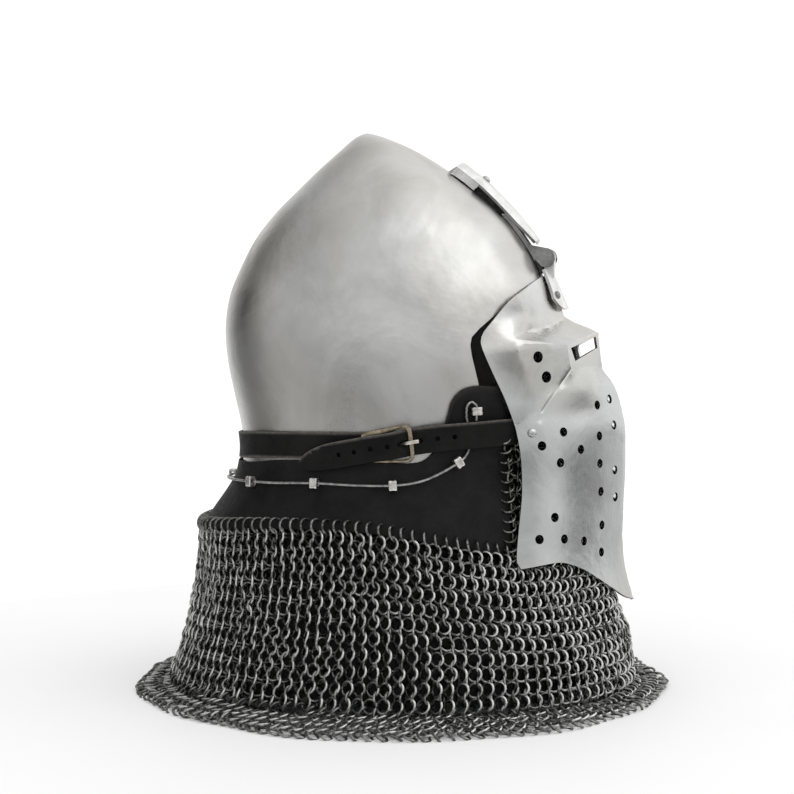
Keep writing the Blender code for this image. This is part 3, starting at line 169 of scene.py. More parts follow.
HINGE = Vector((0.1138, 0.0, 0.3335))
HINGE_HALF = 0.0150
KNUCKLE_HALF = 0.0080
KNUCKLE_RADIUS = 0.0068
KNUCKLE_GAPS = (0.0006, 0.0003)   # round the middle knuckle and at its ends
PIN_RADIUS, PIN_HALF = 0.0025, 0.0148
LEAF_NECK = (
    # x, z from the middle knuckle down to the leaf
    (0.1130, 0.3256), (0.1138, 0.3214), (0.1172, 0.3212), (0.1184, 0.3175), (0.1202, 0.3180),
    (0.1200, 0.3240),
)
LEAF_HALF, LEAF_WALL = (0.0225, 0.0180), 0.0022   # half width at the end and at the top
LEAF_TOP, LEAF_END, LEAF_ROUND = 0.3235, 0.2925, 0.0085
LEAF_LIFT = (0.0008, 0.0026)    # how far it stands off the brow, at the top and at the end
LEAF_RIVET = (0.0130, 0.3035)   # y, z of each rivet
BRACKET_LINE = (
    # x, z along the middle of the bracket's outer face, from its upper foot to the lip
    (0.0405, 0.4016), (0.0446, 0.4050), (0.0490, 0.4078), (0.0575, 0.4017), (0.0668, 0.3943),
    (0.0778, 0.3838), (0.0884, 0.3727), (0.0960, 0.3640), (0.1024, 0.3560), (0.1085, 0.3476),
)
BRACKET_WALL = 0.0023
BRACKET_CROWN = (
    # x, how far its edges lie below its middle
    (0.0405, 0.0026), (0.0446, 0.0044), (0.0490, 0.0056), (0.0575, 0.0058),
    (0.0884, 0.0056), (0.0960, 0.0053), (0.1024, 0.0042), (0.1085, 0.0028),
)
BRACKET_DOWN = Vector((-0.60, 0.0, -0.80))
BRACKET_RIVET = (0.0668, 0.3943)
RIVET_DOME = (
    # radius, height off the plate, from the foot to the crown
    (0.0031, -0.0006), (0.0031, 0.0003), (0.0029, 0.0008), (0.0024, 0.0013), (0.0016, 0.0017),
    (0.0007, 0.0019), (0.0001, 0.00195),
)
BRACKET_FLANGE = (
    # x, z of each side wall, which stands on the skull at the upper end
    (0.0424, 0.3974), (0.0424, 0.4004), (0.0453, 0.4026), (0.0537, 0.3966), (0.0628, 0.3893),
    (0.0612, 0.3872), (0.0580, 0.3856), (0.0500, 0.3925),
)
BRACKET_CORE = (
    # x, z of the block inside it that takes the strip's upper end; it is near black: painted shade
    # in the slot under the bracket
    (0.0580, 0.3852), (0.0650, 0.3794), (0.0738, 0.3720), (0.0787, 0.3678), (0.0850, 0.3662),
    (0.0925, 0.3575), (0.0985, 0.3515), (0.1030, 0.3455), (0.1055, 0.3482), (0.1003, 0.3542),
    (0.0943, 0.3618), (0.0867, 0.3700), (0.0778, 0.3813), (0.0668, 0.3919), (0.0585, 0.3984),
)
CORE_HALF = 0.0050
STRIP_HALF, STRIP_WALL, STRIP_TOP, STRIP_END = 0.0120, 0.0030, 0.3655, 0.3213
STRIP_LIFT, STRIP_DROP = 0.0005, 0.0073
STRIP_SHADE = 0.3330            # below this z the strip is painted near black behind the knuckles: painted shade
NECK = ((0.1110, 0.3268), (0.1066, 0.3315), (0.1030, 0.3375), (0.1005, 0.3415), (0.1020, 0.3432))

LEATHER = 0.0030
SEAT = 0.0004
LEATHER_POWER = 2.2
LEATHER_SECTIONS = (
    # z, back x, front x, half width of the band's outer face
    (0.1000, -0.1660, 0.1150, 0.1275),
    (0.1100, -0.1620, 0.1165, 0.1255),
    (0.1245, -0.1560, 0.1175, 0.1220),
    (0.1370, -0.1480, 0.1175, 0.1170),
    (0.1500, -0.1390, 0.1165, 0.1115),
    (0.1580, -0.1340, 0.1160, 0.1085),
    (0.1650, -0.1305, 0.1156, 0.1060),
    (0.1850, -0.1272, 0.1166, 0.1036),
    (0.2050, -0.1294, 0.1186, 0.1041),
    (0.2400, -0.1370, 0.1220, 0.1063),
)
LEATHER_LEVEL = 0.1600          # z at which the band's x is read for its edges
LEATHER_STRAIGHT = 0.0660       # in front of this x the band runs on straight
LEATHER_BEND = 0.86             # share of the half band where that starts
LEATHER_TAB = 0.78              # share of it where the upper edge rises to the cheek
LEATHER_EDGES = (
    # x on the side, lower edge z, upper edge z, from the back to the face
    (-0.1500, 0.1215, 0.1765),
    (-0.1150, 0.1265, 0.1775),
    (-0.0800, 0.1310, 0.1818),
    (-0.0400, 0.1328, 0.1826),
    (0.0000, 0.1314, 0.1824),
    (0.0280, 0.1272, 0.1820),
    (0.0400, 0.1245, 0.1900),
    (0.0480, 0.1228, 0.2070),
    (0.0530, 0.1216, 0.2250),
    (0.0610, 0.1198, 0.2345),
    (0.0720, 0.1172, 0.2376),
    (0.0980, 0.1110, 0.2366),
)
LEATHER_FRONT = ((0.1000, 0.0978), (0.1900, 0.0915), (0.2400, 0.0880))   # z, x

VERVELLE_SIZE = (0.0058, 0.0084, 0.0062)   # along the wire, up, out from the leather
VERVELLE_BORE = 0.0017
VERVELLES = (0, 2, 4, 7, 15)
WIRE_RADIUS = 0.0010
WIRE_ROUTE = (
    # x, z, lift of its middle off the leather, on each side from the back forwards
    (-0.0990, 0.1640, 0.0046), (-0.0776, 0.1646, 0.0028), (-0.0468, 0.1660, 0.0035),
    (-0.0161, 0.1652, 0.0028), (0.0114, 0.1655, 0.0035), (0.0292, 0.1680, 0.0028),
    (0.0426, 0.1732, 0.0028), (0.0568, 0.1820, 0.0035), (0.0628, 0.1880, 0.0022),
    (0.0645, 0.1945, 0.0015), (0.0642, 0.2060, 0.0015), (0.0626, 0.2150, 0.0022),
    (0.0630, 0.2235, 0.0028), (0.0662, 0.2264, 0.0032), (0.0688, 0.2240, 0.0034),
    (0.0692, 0.2194, 0.0035), (0.0690, 0.2125, 0.0032),
)
WIRE_BACK, WIRE_STAND = 0.1622, 0.0048
WIRE_TURN = 0.235               # share of the half band where the side's route starts

STRAP_WIDTH, STRAP = 0.0200, 0.0028
STRAP_ROUTE = (
    # x, z of the middle line, lift of its inner face off the seat, from the left cheek back
    (0.1180, 0.2025, 0.0048), (0.1080, 0.2025, 0.0044), (0.0980, 0.2025, 0.0046),
    (0.0880, 0.2020, 0.0054), (0.0780, 0.2015, 0.0070), (0.0660, 0.2010, 0.0071),
    (0.0520, 0.2000, 0.0064), (0.0400, 0.1985, 0.0052), (0.0300, 0.1975, 0.0024),
    (0.0220, 0.1965, 0.0007),
    (-0.0100, 0.1940, 0.0007), (-0.0600, 0.1930, 0.0007), (-0.0980, 0.1915, 0.0007),
)
STRAP_BACK, STRAP_END = 0.1880, 0.0045
BILLET_WIDTH = 0.0196
BILLET_ROUTE = (
    # x, z of the middle line, lift of its inner face off the seat, front to tip
    (0.1180, 0.2042, 0.0048), (0.1080, 0.2040, 0.0044), (0.0980, 0.2037, 0.0046),
    (0.0880, 0.2033, 0.0054), (0.0780, 0.2027, 0.0070), (0.0660, 0.2018, 0.0071),
    (0.0520, 0.2008, 0.0064), (0.0400, 0.1996, 0.0052), (0.0250, 0.1974, 0.0040),
    (0.0214, 0.1967, 0.0042), (0.0148, 0.1954, 0.0074), (0.0070, 0.1939, 0.0077),
    (-0.0060, 0.1918, 0.0078), (-0.0145, 0.1901, 0.0077), (-0.0240, 0.1882, 0.0060),
    (-0.0320, 0.1866, 0.0050),
    (-0.0450, 0.1848, 0.0048), (-0.0580, 0.1842, 0.0048),
)
BILLET_TIP = (0.0100, 0.0310)   # length of the pointed end, along the lower and the upper edge
BILLET_DROP, BILLET_CURVE = 0.0033, 1.2
BILLET_HOLE, BILLET_PITCH, BILLET_HOLES = 0.0032, 0.0124, (-3, 4)
TONGUE_SLOT, TONGUE_AT = 0.0100, 0.0195
BUCKLE = (
    # x, z of the frame's bars, lift of their middle off the seat, half width
    (-0.0105, 0.1845, 0.0057, 0.0012), (-0.0108, 0.1990, 0.0057, 0.0015),
    (-0.0085, 0.2018, 0.0057, 0.0022), (0.0062, 0.2052, 0.0058, 0.0019),
    (0.0140, 0.2078, 0.0062, 0.0011), (0.0190, 0.2085, 0.0082, 0.0012),
    (0.0221, 0.2066, 0.0093, 0.0016), (0.0234, 0.1985, 0.0093, 0.0017),
    (0.0243, 0.1880, 0.0093, 0.0015), (0.0232, 0.1848, 0.0084, 0.0013),
    (0.0186, 0.1833, 0.0060, 0.0011), (0.0022, 0.1829, 0.0057, 0.0010),
)
TONGUE = (
    # x, z, lift off the seat, from the rear bar to the point
    (-0.0078, 0.1914, 0.0050), (0.0070, 0.1940, 0.0052), (0.0150, 0.1954, 0.0056),
    (0.0182, 0.1961, 0.0078), (0.0206, 0.1966, 0.0106), (0.0232, 0.1972, 0.0124),
    (0.0258, 0.1978, 0.0126), (0.0284, 0.1982, 0.0122),
)

MAIL_BACK_POWER = 2.1
MAIL_SECTIONS = (
    # z, back x, front x, half width, power of the front quarter
    (0.0030, -0.2050, 0.2050, 0.2040, 2.00),
    (0.0042, -0.1800, 0.1810, 0.1590, 1.95),
    (0.0080, -0.1785, 0.1800, 0.1570, 1.90),
    (0.0150, -0.1760, 0.1785, 0.1545, 1.90),
    (0.0300, -0.1705, 0.1760, 0.1500, 1.90),
    (0.0450, -0.1665, 0.1728, 0.1455, 1.90),
    (0.0600, -0.1625, 0.1668, 0.1400, 1.85),
    (0.0800, -0.1590, 0.1608, 0.1330, 1.75),
    (0.1050, -0.1572, 0.1575, 0.1240, 1.60),
    (0.1250, -0.1570, 0.1565, 0.1215, 1.53),
    (0.1550, -0.1570, 0.1545, 0.1180, 1.50),
    (0.2080, -0.1570, 0.1500, 0.1120, 1.50),
)
MAIL_PANEL = 43                 # degrees each side of the front that the chin panel reaches
PANEL_SHADED = (0.050, 0.070)     # |y| where its rings turn from bright to black: painted shade beside the face guard
MAIL_TOP, MAIL_JOIN, MAIL_FOOT = 0.2070, 0.1085, 0.0075
MAIL_GAPS = (0.0050, 0.0030)    # how far rings and dark wall end below the leather's edge
HANG_Z = 0.1250                 # height at which curtain and band are matched all round
DRAPE = 0.0011                  # size of the swells in the hanging curtain
RING, RING_WIRE = 0.00505, 0.00102   # radius of the ring's middle line, radius of its wire
RING_COUNT, RING_ROWS = 112, 22
RING_YAW = (-52, 38)            # degrees a ring turns about upward, in even and in odd rows
RING_STAND = (-0.0005, 0.0007)  # how far it stands out, in the same rows
RING_STRAY = 0.0005             # how far it strays from its place
RING_LOOSE = (0.15, 0.13)       # spread of its turn and of its tip, radians
RING_SIZES = (0.97, 1.03)       # smallest and largest ring against RING
RING_TONES_AND_SHADE = ((0.0, 0.3), (0.5, 1.1))   # darkest and brightest ring, in the same rows; the even rows lean away from the lamp and are painted darker: painted shade
RING_LIGHT = (0.48, 0.95), (0.03, 1.3)  # painted light and shade round a ring: tone of its middle, added outwards; darkest, brightest
PANEL_ROWS = 17
BRIM_RADIUS, BRIM_COUNT, BRIM_ROWS, BRIM_PITCH = 0.2010, 132, 8, 0.0061
BRIM_Z, BRIM_LAP = 0.0042, 0.0040   # where it meets the curtain, how far it runs on beneath it
SHADE, SHADE_WALL = 0.0045, 0.0004   # how far inside the rings the dark wall hangs, its thickness
SHADE_FOOT, SHADE_WAVE = 0.0140, 0.0030
LACE_RING, LACE_PITCH = (0.0060, 0.00105), 0.0082     # along the leather's lower edge
FRONT_RING, FRONT_PITCH = (0.0052, 0.00085), 0.0072   # along its front edge
FRONT_LACED = (0.1120, 0.1990)  # z from where to where the front edge is laced
LACE_TONES = (0.0, 0.2)

# ---------------------------------------------------------------- fineness of the meshes
SHARP, SOFTENED = 35, 50        # degrees between faces whose edge is drawn sharp, is rounded off
PLATE_BEVEL, STRIP_BEVEL, LEATHER_BEVEL = 0.0005, 0.0008, 0.0007
NUDGE = 0.0005                  # step over which the slope of the face guard is measured
SKULL_COLUMNS, SKULL_ROWS = 144, 96
SHEET_SPACING, SHEET_GAP = 0.0030, 0.0012   # between a sheet's points, and from them to its edges
EDGE_SPACING = 0.0025           # between points along the face guard's edges
HOLE_SIDES, TURNED_SIDES = 24, 24
RING_FINE, LACE_FINE = (16, 5), (20, 6)   # steps round a ring, and sides of its wire
BAND_STEPS = 200                # measured places along half the band
LEVEL_STEPS, TURN_STEPS = 60, 720   # measured levels of the curtain, and places round each
GIRTH_STEPS = 360               # places where the curtain's top is measured

# ---------------------------------------------------------------- looks
STAIN, PATCH = (0.55, 0.515, 0.455), (0.40, 0.40, 0.38)   # colours of the marks on plate
DARKER_BELOW = 0.240, 0.290, 0.46, (0.34, 0.35, 0.345)   # z where fully darker, z where the darkening ends, its share, colour: the visor darker towards the bottom
DARKER_BELOW_WANDER = 0.020             # how far the upper end of the visor's darker part wanders

# ---------------------------------------------------------------- stage
FLOOR = 0.55                    # radius of the floor
SKY = 1.14                      # brightness of the white surroundings
ROOM = 0.60                     # tone of the room, as the steel reflects it
ROOM_PARTS = (
    # (degrees from -Y towards +X, degrees up), where it is full, where it ends, added tone
    ((180, 8), 15, 65, 0.42),       # white backdrop
    ((-101, -4), 8, 31, -0.27),     # dark flag beside the back of the head
    ((-108, 20), 6, 26, -0.20),     # its upper and lower parts
    ((-87, -24), 8, 34, -0.20),
    ((-112, 32), 16, 48, -0.17),    # dimmer wall above it
    ((80, 46), 12, 66, 0.46),       # bright wall, high in front of the face
    ((119, 21), 12, 40, 0.29),      # brighter part of it, beyond the face
    ((4, 28), 18, 50, 0.20),        # pale wall above the camera
    ((-14, -24), 8, 34, -0.27),     # shade in front, below the helmet
    ((28, -20), 8, 34, -0.16),
    ((103, -14), 6, 25, -0.55),     # dark flag beside the face
    ((67, -5), 6, 26, 0.12),        # pale panels on either side of it
    ((125, -8), 4, 19, 0.26),
    ((0, 90), 20, 60, 0.10),        # ceiling
)
KEY = (1.12, -0.44, 1.42), (0.0, 0.0, 0.28), 1.25, 0.75   # lamp's place, aim, side, brightness
CAMERA_TURN, CAMERA_PITCH = 9.5, 2.8        # degrees from -Y towards +X, degrees down
CAMERA_AWAY, CAMERA_SHIFT, CAMERA_HEIGHT = 1.415, -0.0035, 0.294
CAMERA_SENSOR, CAMERA_LENS = 36.0, 81.6     # mm


# ---------------------------------------------------------------- curves and surfaces

def between(table, key):
    """The values of a table's row at any key, smooth through the rows."""
    keys = [row[0] for row in table]
    if key <= keys[0]:
        return table[0][1:]
    if key >= keys[-1]:
        return table[-1][1:]
    index = max(i for i in range(len(keys) - 1) if keys[i] <= key)
    last = len(keys) - 1

    def slope(i, column):
        before, after = max(i - 1, 0), min(i + 1, last)
        return (table[after][column] - table[before][column]) / (keys[after] - keys[before])

    step = keys[index + 1] - keys[index]
    t = (key - keys[index]) / step
    values = []
    for column in range(1, len(table[0])):
        values.append(
            (2 * t**3 - 3 * t**2 + 1) * table[index][column]
            + (t**3 - 2 * t**2 + t) * slope(index, column) * step
            + (3 * t**2 - 2 * t**3) * table[index + 1][column]
            + (t**3 - t**2) * slope(index + 1, column) * step
        )
    return values


def smooth(points, spacing, closed=False):
    """Points about one spacing apart on a soft curve through the given points."""
    points = [Vector(p) for p in points]
    count = len(points)
    result = []
    for i in range(count if closed else count - 1):
        start, end = points[i], points[(i + 1) % count]
        before = points[i - 1] if closed or i else start
        after = points[(i + 2) % count] if closed or i + 2 < count else end
        steps = max(1, round((end - start).length / spacing))
        for k in range(steps):
            t = k / steps
            result.append(0.5 * (
                2 * start + (end - before) * t
                + (2 * before - 5 * start + 4 * end - after) * t**2
                + (3 * start - before - 3 * end + after) * t**3
            ))
    if not closed:
        result.append(points[-1])
    return result


def inside(point, outline):
    hit = False
    for (ax, az), (bx, bz) in zip(outline, outline[1:] + outline[:1]):
        if (az > point[1]) != (bz > point[1]):
            if point[0] < (bx - ax) * (point[1] - az) / (bz - az) + ax:
                hit = not hit
    return hit


def circle(radius, count):
    return [(radius * math.cos(2 * math.pi * i / count), radius * math.sin(2 * math.pi * i / count))
            for i in range(count)]


def evenly(half, steps):
    """Places from one side to the other, with as many steps on each side of the middle."""
    return [half * (i / steps - 1) for i in range(2 * steps + 1)]


def arc(centre, radius, start, end, steps):
    points = []
    for i in range(steps + 1):
        angle = math.radians(start + (end - start) * i / steps)
        points.append((centre[0] + radius * math.cos(angle), centre[1] + radius * math.sin(angle)))
    return points


def bent(value, power):
    """A cosine or sine, drawn towards the corners of a squarer oval."""
    return math.copysign(abs(value) ** (2 / power), value)


def spans(table, z):
    """Middle x, reach ahead of it and half width of a horizontal section."""
    back, front, half = between(table, z)
    return (back + front) / 2, (front - back) / 2, half


def oval(z, angle, table, power):
    """A point on a horizontal section; angle 0 is the front, a quarter turn the left."""
    middle, reach, half = spans(table, z)
    x = middle + reach * bent(math.cos(angle), power)
    return Vector((x, half * bent(math.sin(angle), power), z))


def flank(table, power, x, z, side, lift=0.0):
    """A point over the side of the head, by its lift; ahead of the ears it runs straight."""
    middle, reach, half = spans(table, z)
    at = min(x, LEATHER_STRAIGHT)
    t = min(abs(at - middle) / reach, 0.9999)
    y = half * (1 - t**power) ** (1 / power)
    fall = -(half / reach) * (t / (y / half)) ** (power - 1) * math.copysign(1, at - middle)
    y += fall * (x - at)
    normal = Vector((-fall, 1.0)).normalized()
    return Vector((x + normal.x * lift, side * (y + normal.y * lift), z))


def seat(x, z, lift=0.0, side=-1):
    return flank(SKULL_SECTIONS, SKULL_POWER, x, z, side, lift)


def on_band(x, z, side, lift=0.0):
    return flank(LEATHER_SECTIONS, LEATHER_POWER, x, z, side, lift)


# ---------------------------------------------------------------- meshes

def placed(name, data):
    """A new object in the scene, at the origin."""
    made = bpy.data.objects.new(name, data)
    bpy.context.collection.objects.link(made)
    return made


def solid(name, points, faces, look, sharp=SHARP, bevel=0.0, body="helmet"):
    """A closed piece with its faces turned outwards, and its edges rounded off."""
    mesh = bpy.data.meshes.new(name)
    mesh.from_pydata([tuple(p) for p in points], [], faces)
    shaped = bmesh.new()
    shaped.from_mesh(mesh)
    bmesh.ops.remove_doubles(shaped, verts=shaped.verts, dist=0.00001)
    bmesh.ops.recalc_face_normals(shaped, faces=shaped.faces)
    shaped.to_mesh(mesh)
    shaped.free()
    mesh.shade_smooth()
    mesh.set_sharp_from_angle(angle=math.radians(sharp))
    made = placed(name, mesh)
    if look:
        mesh.materials.append(look)
    if bevel:
        soften(made, bevel)
    if body:
        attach(made, body)
    return made


def soften(made, width):
    """Rounds the sharp edges with a narrow bevel."""
    step = made.modifiers.new("soft_edges", "BEVEL")
    step.width = width
    step.segments = 2
    step.limit_method = "ANGLE"
    step.angle_limit = math.radians(SOFTENED)
    step.harden_normals = True


def inward(points, faces, distance):
    """The points moved inwards, square to the faces round them."""
    around = [[] for _ in points]
    for face in faces:
        corners = [Vector(points[i]) for i in face]
        normal = (corners[1] - corners[0]).cross(corners[2] - corners[0]).normalized()
        for i in face:
            around[i].append(normal)
    moved = []
    for point, normals in zip(points, around):
        mean = sum(normals, Vector()).normalized()
        reach = sum(mean.dot(n) for n in normals) / len(normals)
        moved.append(Vector(point) - mean * distance / max(reach, 0.6))
    return moved


def skins(outer, inner, faces):
    """Points and faces of the closed wall between an outer and an inner skin."""
    count = len(outer)
    edges = {}
    for face in faces:
        for a, b in zip(face, face[1:] + face[:1]):
            edges[a, b] = True
    rim = [(a, b) for a, b in edges if (b, a) not in edges]
    inner_faces = [tuple(i + count for i in reversed(face)) for face in faces]
    walls = [(b, a, a + count, b + count) for a, b in rim]
    return list(outer) + list(inner), faces + inner_faces + walls


def grid(rows, columns, ring=False, closed=False):
    """Faces over rows of points; in a ring each row closes, and closed joins last row and first."""
    faces = []
    for row in range(rows if closed else rows - 1):
        up = (row + 1) % rows * columns
        for column in range(columns if ring else columns - 1):
            after = (column + 1) % columns
            faces.append((row * columns + column, row * columns + after, up + after, up + column))
    return faces


def sheet(outline, holes, guides, inner_points, lift):
    """Flat points and the triangles between them, for a surface lift(u, v)."""
    flat, edges = [], []
    for loop in [outline] + holes:
        start = len(flat)
        flat += [tuple(p) for p in loop]
        edges += [(start + i, start + (i + 1) % len(loop)) for i in range(len(loop))]
    for line in guides:
        start = len(flat)
        flat += [tuple(p) for p in line]
        edges += [(start + i, start + i + 1) for i in range(len(line) - 1)]
    fixed = np.array([lift(*p) for p in flat])
    for point in inner_points:
        if not inside(point, outline) or any(inside(point, hole) for hole in holes):
            continue
        gaps = np.linalg.norm(fixed - np.array(lift(*point)), axis=1)
        if gaps.min() > SHEET_GAP:
            flat.append(tuple(point))
    found = delaunay_2d_cdt([Vector(p) for p in flat], edges, [], 0, 0.000001)
    points, triangles = found[0], found[2]
    kept = []
    for face in triangles:
        middle = sum((points[i] for i in face), Vector((0, 0))) / len(face)
        if inside(middle, outline) and not any(inside(middle, hole) for hole in holes):
            kept.append(tuple(face))
    used = sorted({i for face in kept for i in face})
    place = {old: new for new, old in enumerate(used)}
    return [points[i] for i in used], [tuple(place[i] for i in face) for face in kept]


def mirrored(points):
    return [Vector((p.x, -p.y, p.z)) for p in points]


def prism(name, outline, low, high):
    """A side-view outline of (x, z) points drawn out in y, as a helper for bake."""
    count = len(outline)
    points = [(x, y, z) for y in (low, high) for x, z in outline]
    faces = [tuple(range(count)), tuple(range(2 * count - 1, count - 1, -1))]
    faces += [(i, (i + 1) % count, (i + 1) % count + count, i + count) for i in range(count)]
    return triangles(solid(name, points, faces, None, body=None))


def lathe(name, profile, place, normal, look, body="helmet"):
    """A turned piece: (radius, height) pairs from the foot up, set along a normal."""
    points = [Vector((x, y, height)) for radius, height in profile
              for x, y in circle(radius, TURNED_SIDES)]
    faces = grid(len(profile), TURNED_SIDES, ring=True)
    faces.append(tuple(range(TURNED_SIDES - 1, -1, -1)))
    faces.append(tuple(range(len(points) - TURNED_SIDES, len(points))))
    turn = Vector(normal).to_track_quat("Z", "Y").to_matrix()
    return solid(name, [Vector(place) + turn @ p for p in points], faces, look, body=body)


def triangles(made):
    shaped = bmesh.new()
    shaped.from_mesh(made.data)
    bmesh.ops.triangulate(shaped, faces=shaped.faces)
    shaped.to_mesh(made.data)
    shaped.free()
    return made


def bake(target, steps):
    """Joins (operation, helper) pairs to a piece or cuts them out, then drops the helpers."""
    triangles(target)
    for operation, helper in steps:
        step = target.modifiers.new(helper.name, "BOOLEAN")
        step.operation = operation
        step.solver = "EXACT"
        step.object = helper
    bpy.context.view_layer.update()
    evaluated = target.evaluated_get(bpy.context.evaluated_depsgraph_get())
    mesh = bpy.data.meshes.new_from_object(evaluated)
    target.modifiers.clear()
    target.data = mesh
    mesh.set_sharp_from_angle(angle=math.radians(SHARP))
    for _, helper in steps:
        bpy.data.objects.remove(helper)


def bar(name, route, section, look, closed=False, up=None, sizes=None):
    """A bar along a route, with the given (out, along-up) section at every point."""
    count = len(route)
    points = []
    for i, place in enumerate(route):
        ahead = route[(i + 1) % count] if closed else route[min(i + 1, count - 1)]
        behind = route[i - 1] if closed else route[max(i - 1, 0)]
        run = (ahead - behind).normalized()
        lead = up[i] if up else Vector((0, 0, 1))
        side = run.cross(lead)
        side = side.normalized() if side.length > 0.05 else run.orthogonal().normalized()
        top = side.cross(run).normalized()
        size = sizes[i] if sizes else 1.0
        points += [place + side * a + top * b * size for a, b in section]
    around = len(section)
    faces = grid(count, around, ring=True, closed=closed)
    if not closed:
        faces.append(tuple(range(around - 1, -1, -1)))
        faces.append(tuple(range((count - 1) * around, count * around)))
    return solid(name, points, faces, look)


def second_look(made, look, chosen):
    """Gives the chosen faces a look of their own."""
    made.data.materials.append(look)
    for face in made.data.polygons:
        if chosen(face):
            face.material_index = 1


def store(made, name, values):
    """Keeps one number a point, for the material to read."""
    layer = made.data.attributes.new(name, "FLOAT", "POINT")
    layer.data.foreach_set("value", values)


# ---------------------------------------------------------------- materials

class Nodes:
    """A node tree under construction. Values and sockets are both taken as inputs."""

    def __init__(self, tree):
        self.tree = tree

    def put(self, socket, value):
        if isinstance(value, bpy.types.NodeSocket):
            self.tree.links.new(value, socket)
        else:
            socket.default_value = value

    def add(self, kind, inputs=None, **settings):
        node = self.tree.nodes.new("ShaderNode" + kind)
        for key, value in settings.items():
            setattr(node, key, value)
        for key, value in (inputs or {}).items():
            self.put(node.inputs[key], value)
        return node

    def spread(self, value, low, high, new_low, new_high, kind="LINEAR"):
        return self.add("MapRange", {
            "Value": value, "From Min": low, "From Max": high,
            "To Min": new_low, "To Max": new_high,
        }, interpolation_type=kind).outputs[0]

    def blend(self, share, first, second):
        node = self.add("Mix", data_type="RGBA")
        self.put(node.inputs[0], share)
        for index, value in ((6, first), (7, second)):
            if not isinstance(value, bpy.types.NodeSocket):
                value = (*value, 1.0)
            self.put(node.inputs[index], value)
        return node.outputs[2]

    def sum(self, first, second, operation="ADD"):
        node = self.add("Math", {0: first, 1: second}, operation=operation)
        return node.outputs[0]


class Look(Nodes):
    """A material, with its pattern fixed to the object."""

    def __init__(self, name, colour, rough, metal):
        self.made = bpy.data.materials.new(name)
        self.made.use_nodes = True
        super().__init__(self.made.node_tree)
        self.shader = self.tree.nodes["Principled BSDF"]
        self.put(self.shader.inputs["Base Color"], (*colour, 1.0))
        self.put(self.shader.inputs["Roughness"], rough)
        self.put(self.shader.inputs["Metallic"], metal)
        self.place = self.add("TexCoord").outputs["Object"]

    def noise(self, scale, detail=4.0, rough=0.55, stretch=None, twist=0.0):
        place = self.place
        if stretch:
            place = self.add("Mapping", {"Vector": place, "Scale": stretch}).outputs[0]
        return self.add("TexNoise", {
            "Vector": place, "Scale": scale, "Detail": detail, "Roughness": rough,
            "Distortion": twist,
        }).outputs["Fac"]

    def cells(self, scale, feature="F1"):
        return self.add("TexVoronoi", {"Vector": self.place, "Scale": scale},
                        feature=feature).outputs["Distance"]

    def attribute(self, name):
        return self.add("Attribute", attribute_name=name).outputs["Fac"]

    def bump(self, *layers):
        """Each layer is a height and its depth in metres."""
        normal = None
        for height, depth in layers:
            node = self.add("Bump", {"Height": height, "Distance": depth, "Strength": 1.0})
            if normal:
                self.put(node.inputs["Normal"], normal)
            normal = node.outputs[0]
        self.put(self.shader.inputs["Normal"], normal)

    def set(self, **values):
        for key, value in values.items():
            self.put(self.shader.inputs[key.replace("_", " ")], value)


def polished_steel(name, dark, light, low, high, darker_below=None):
    """Satin plate: cloudy polish, fine rubbing marks and a few soft stains; darker towards the
    bottom if asked.
    """
    look = Look(name, light, low, 1.0)
    clouds = look.noise(13, 4, 0.55, twist=0.5)
    smears = look.noise(26, 4, 0.55, stretch=(1.0, 1.0, 0.5), twist=0.8)
    fine = look.noise(900, 4, 0.6, stretch=(1.0, 1.0, 0.25))
    tone = look.spread(clouds, 0.34, 0.66, 0.0, 1.0)
    colour = look.blend(tone, dark, light)
    stain = look.spread(look.noise(9, 3, 0.5, twist=0.4), 0.46, 0.66, 0.0, 0.65)
    colour = look.blend(stain, colour, STAIN)
    patch = look.spread(look.noise(22, 5, 0.6, twist=1.2), 0.50, 0.68, 0.0, 0.30)
    colour = look.blend(patch, colour, PATCH)
    if darker_below:
        full, plain_from, share, grey = darker_below
        level = look.add("SeparateXYZ", {0: look.place}).outputs["Z"]
        level = look.sum(level, look.spread(smears, 0.3, 0.7, -DARKER_BELOW_WANDER, DARKER_BELOW_WANDER))
        colour = look.blend(look.spread(level, full, plain_from, share, 0.0), colour, grey)
    look.set(Base_Color=colour)
    rub = look.spread(smears, 0.3, 0.7, low, high)
    look.set(Roughness=look.sum(rub, look.spread(fine, 0.3, 0.7, -0.03, 0.03)))
    look.bump((clouds, 0.0016), (smears, 0.00030), (fine, 0.00001))
    return look.made


def worn_leather(name, dark, light, edge):
    """Black leather: pores, creases and mottling, paler along the marked edges: partly burnish
    where it is cut, partly painted highlight.
    """
    look = Look(name, dark, 0.55, 0.0)
    mottle = look.spread(look.noise(38, 6, 0.65), 0.35, 0.68, 0.0, 1.0)
    pores = look.cells(1100)
    creases = look.noise(260, 5, 0.7, twist=0.8)
    colour = look.blend(mottle, dark, light)
    wear_and_shade = look.spread(look.noise(300, 4), 0.3, 0.7, 0.5, 1.0)
    # paler marked edges: burnish, and painted highlight on the upper edges of band and billet
    rim = look.sum(look.attribute("edge"), wear_and_shade, "MULTIPLY")
    look.set(Base_Color=look.blend(rim, colour, edge))
    look.set(Roughness=look.spread(creases, 0.3, 0.7, 0.46, 0.66), Specular_IOR_Level=0.13)
    look.bump((creases, 0.00018), (pores, 0.00008))
    return look.made


def old_metal(name, dark, light, low, high, scale=160):
    """Small cast or drawn metal pieces: patches of patina, dents and rubbed highlights."""
    look = Look(name, light, low, 1.0)
    patches = look.noise(scale, 5, 0.65)
    fine = look.noise(scale * 6, 4, 0.6)
    look.set(Base_Color=look.blend(look.spread(patches, 0.35, 0.65, 0.0, 1.0), dark, light))
    look.set(Roughness=look.spread(fine, 0.3, 0.7, low, high))
    look.bump((patches, 0.0002), (fine, 0.00003))
    return look.made


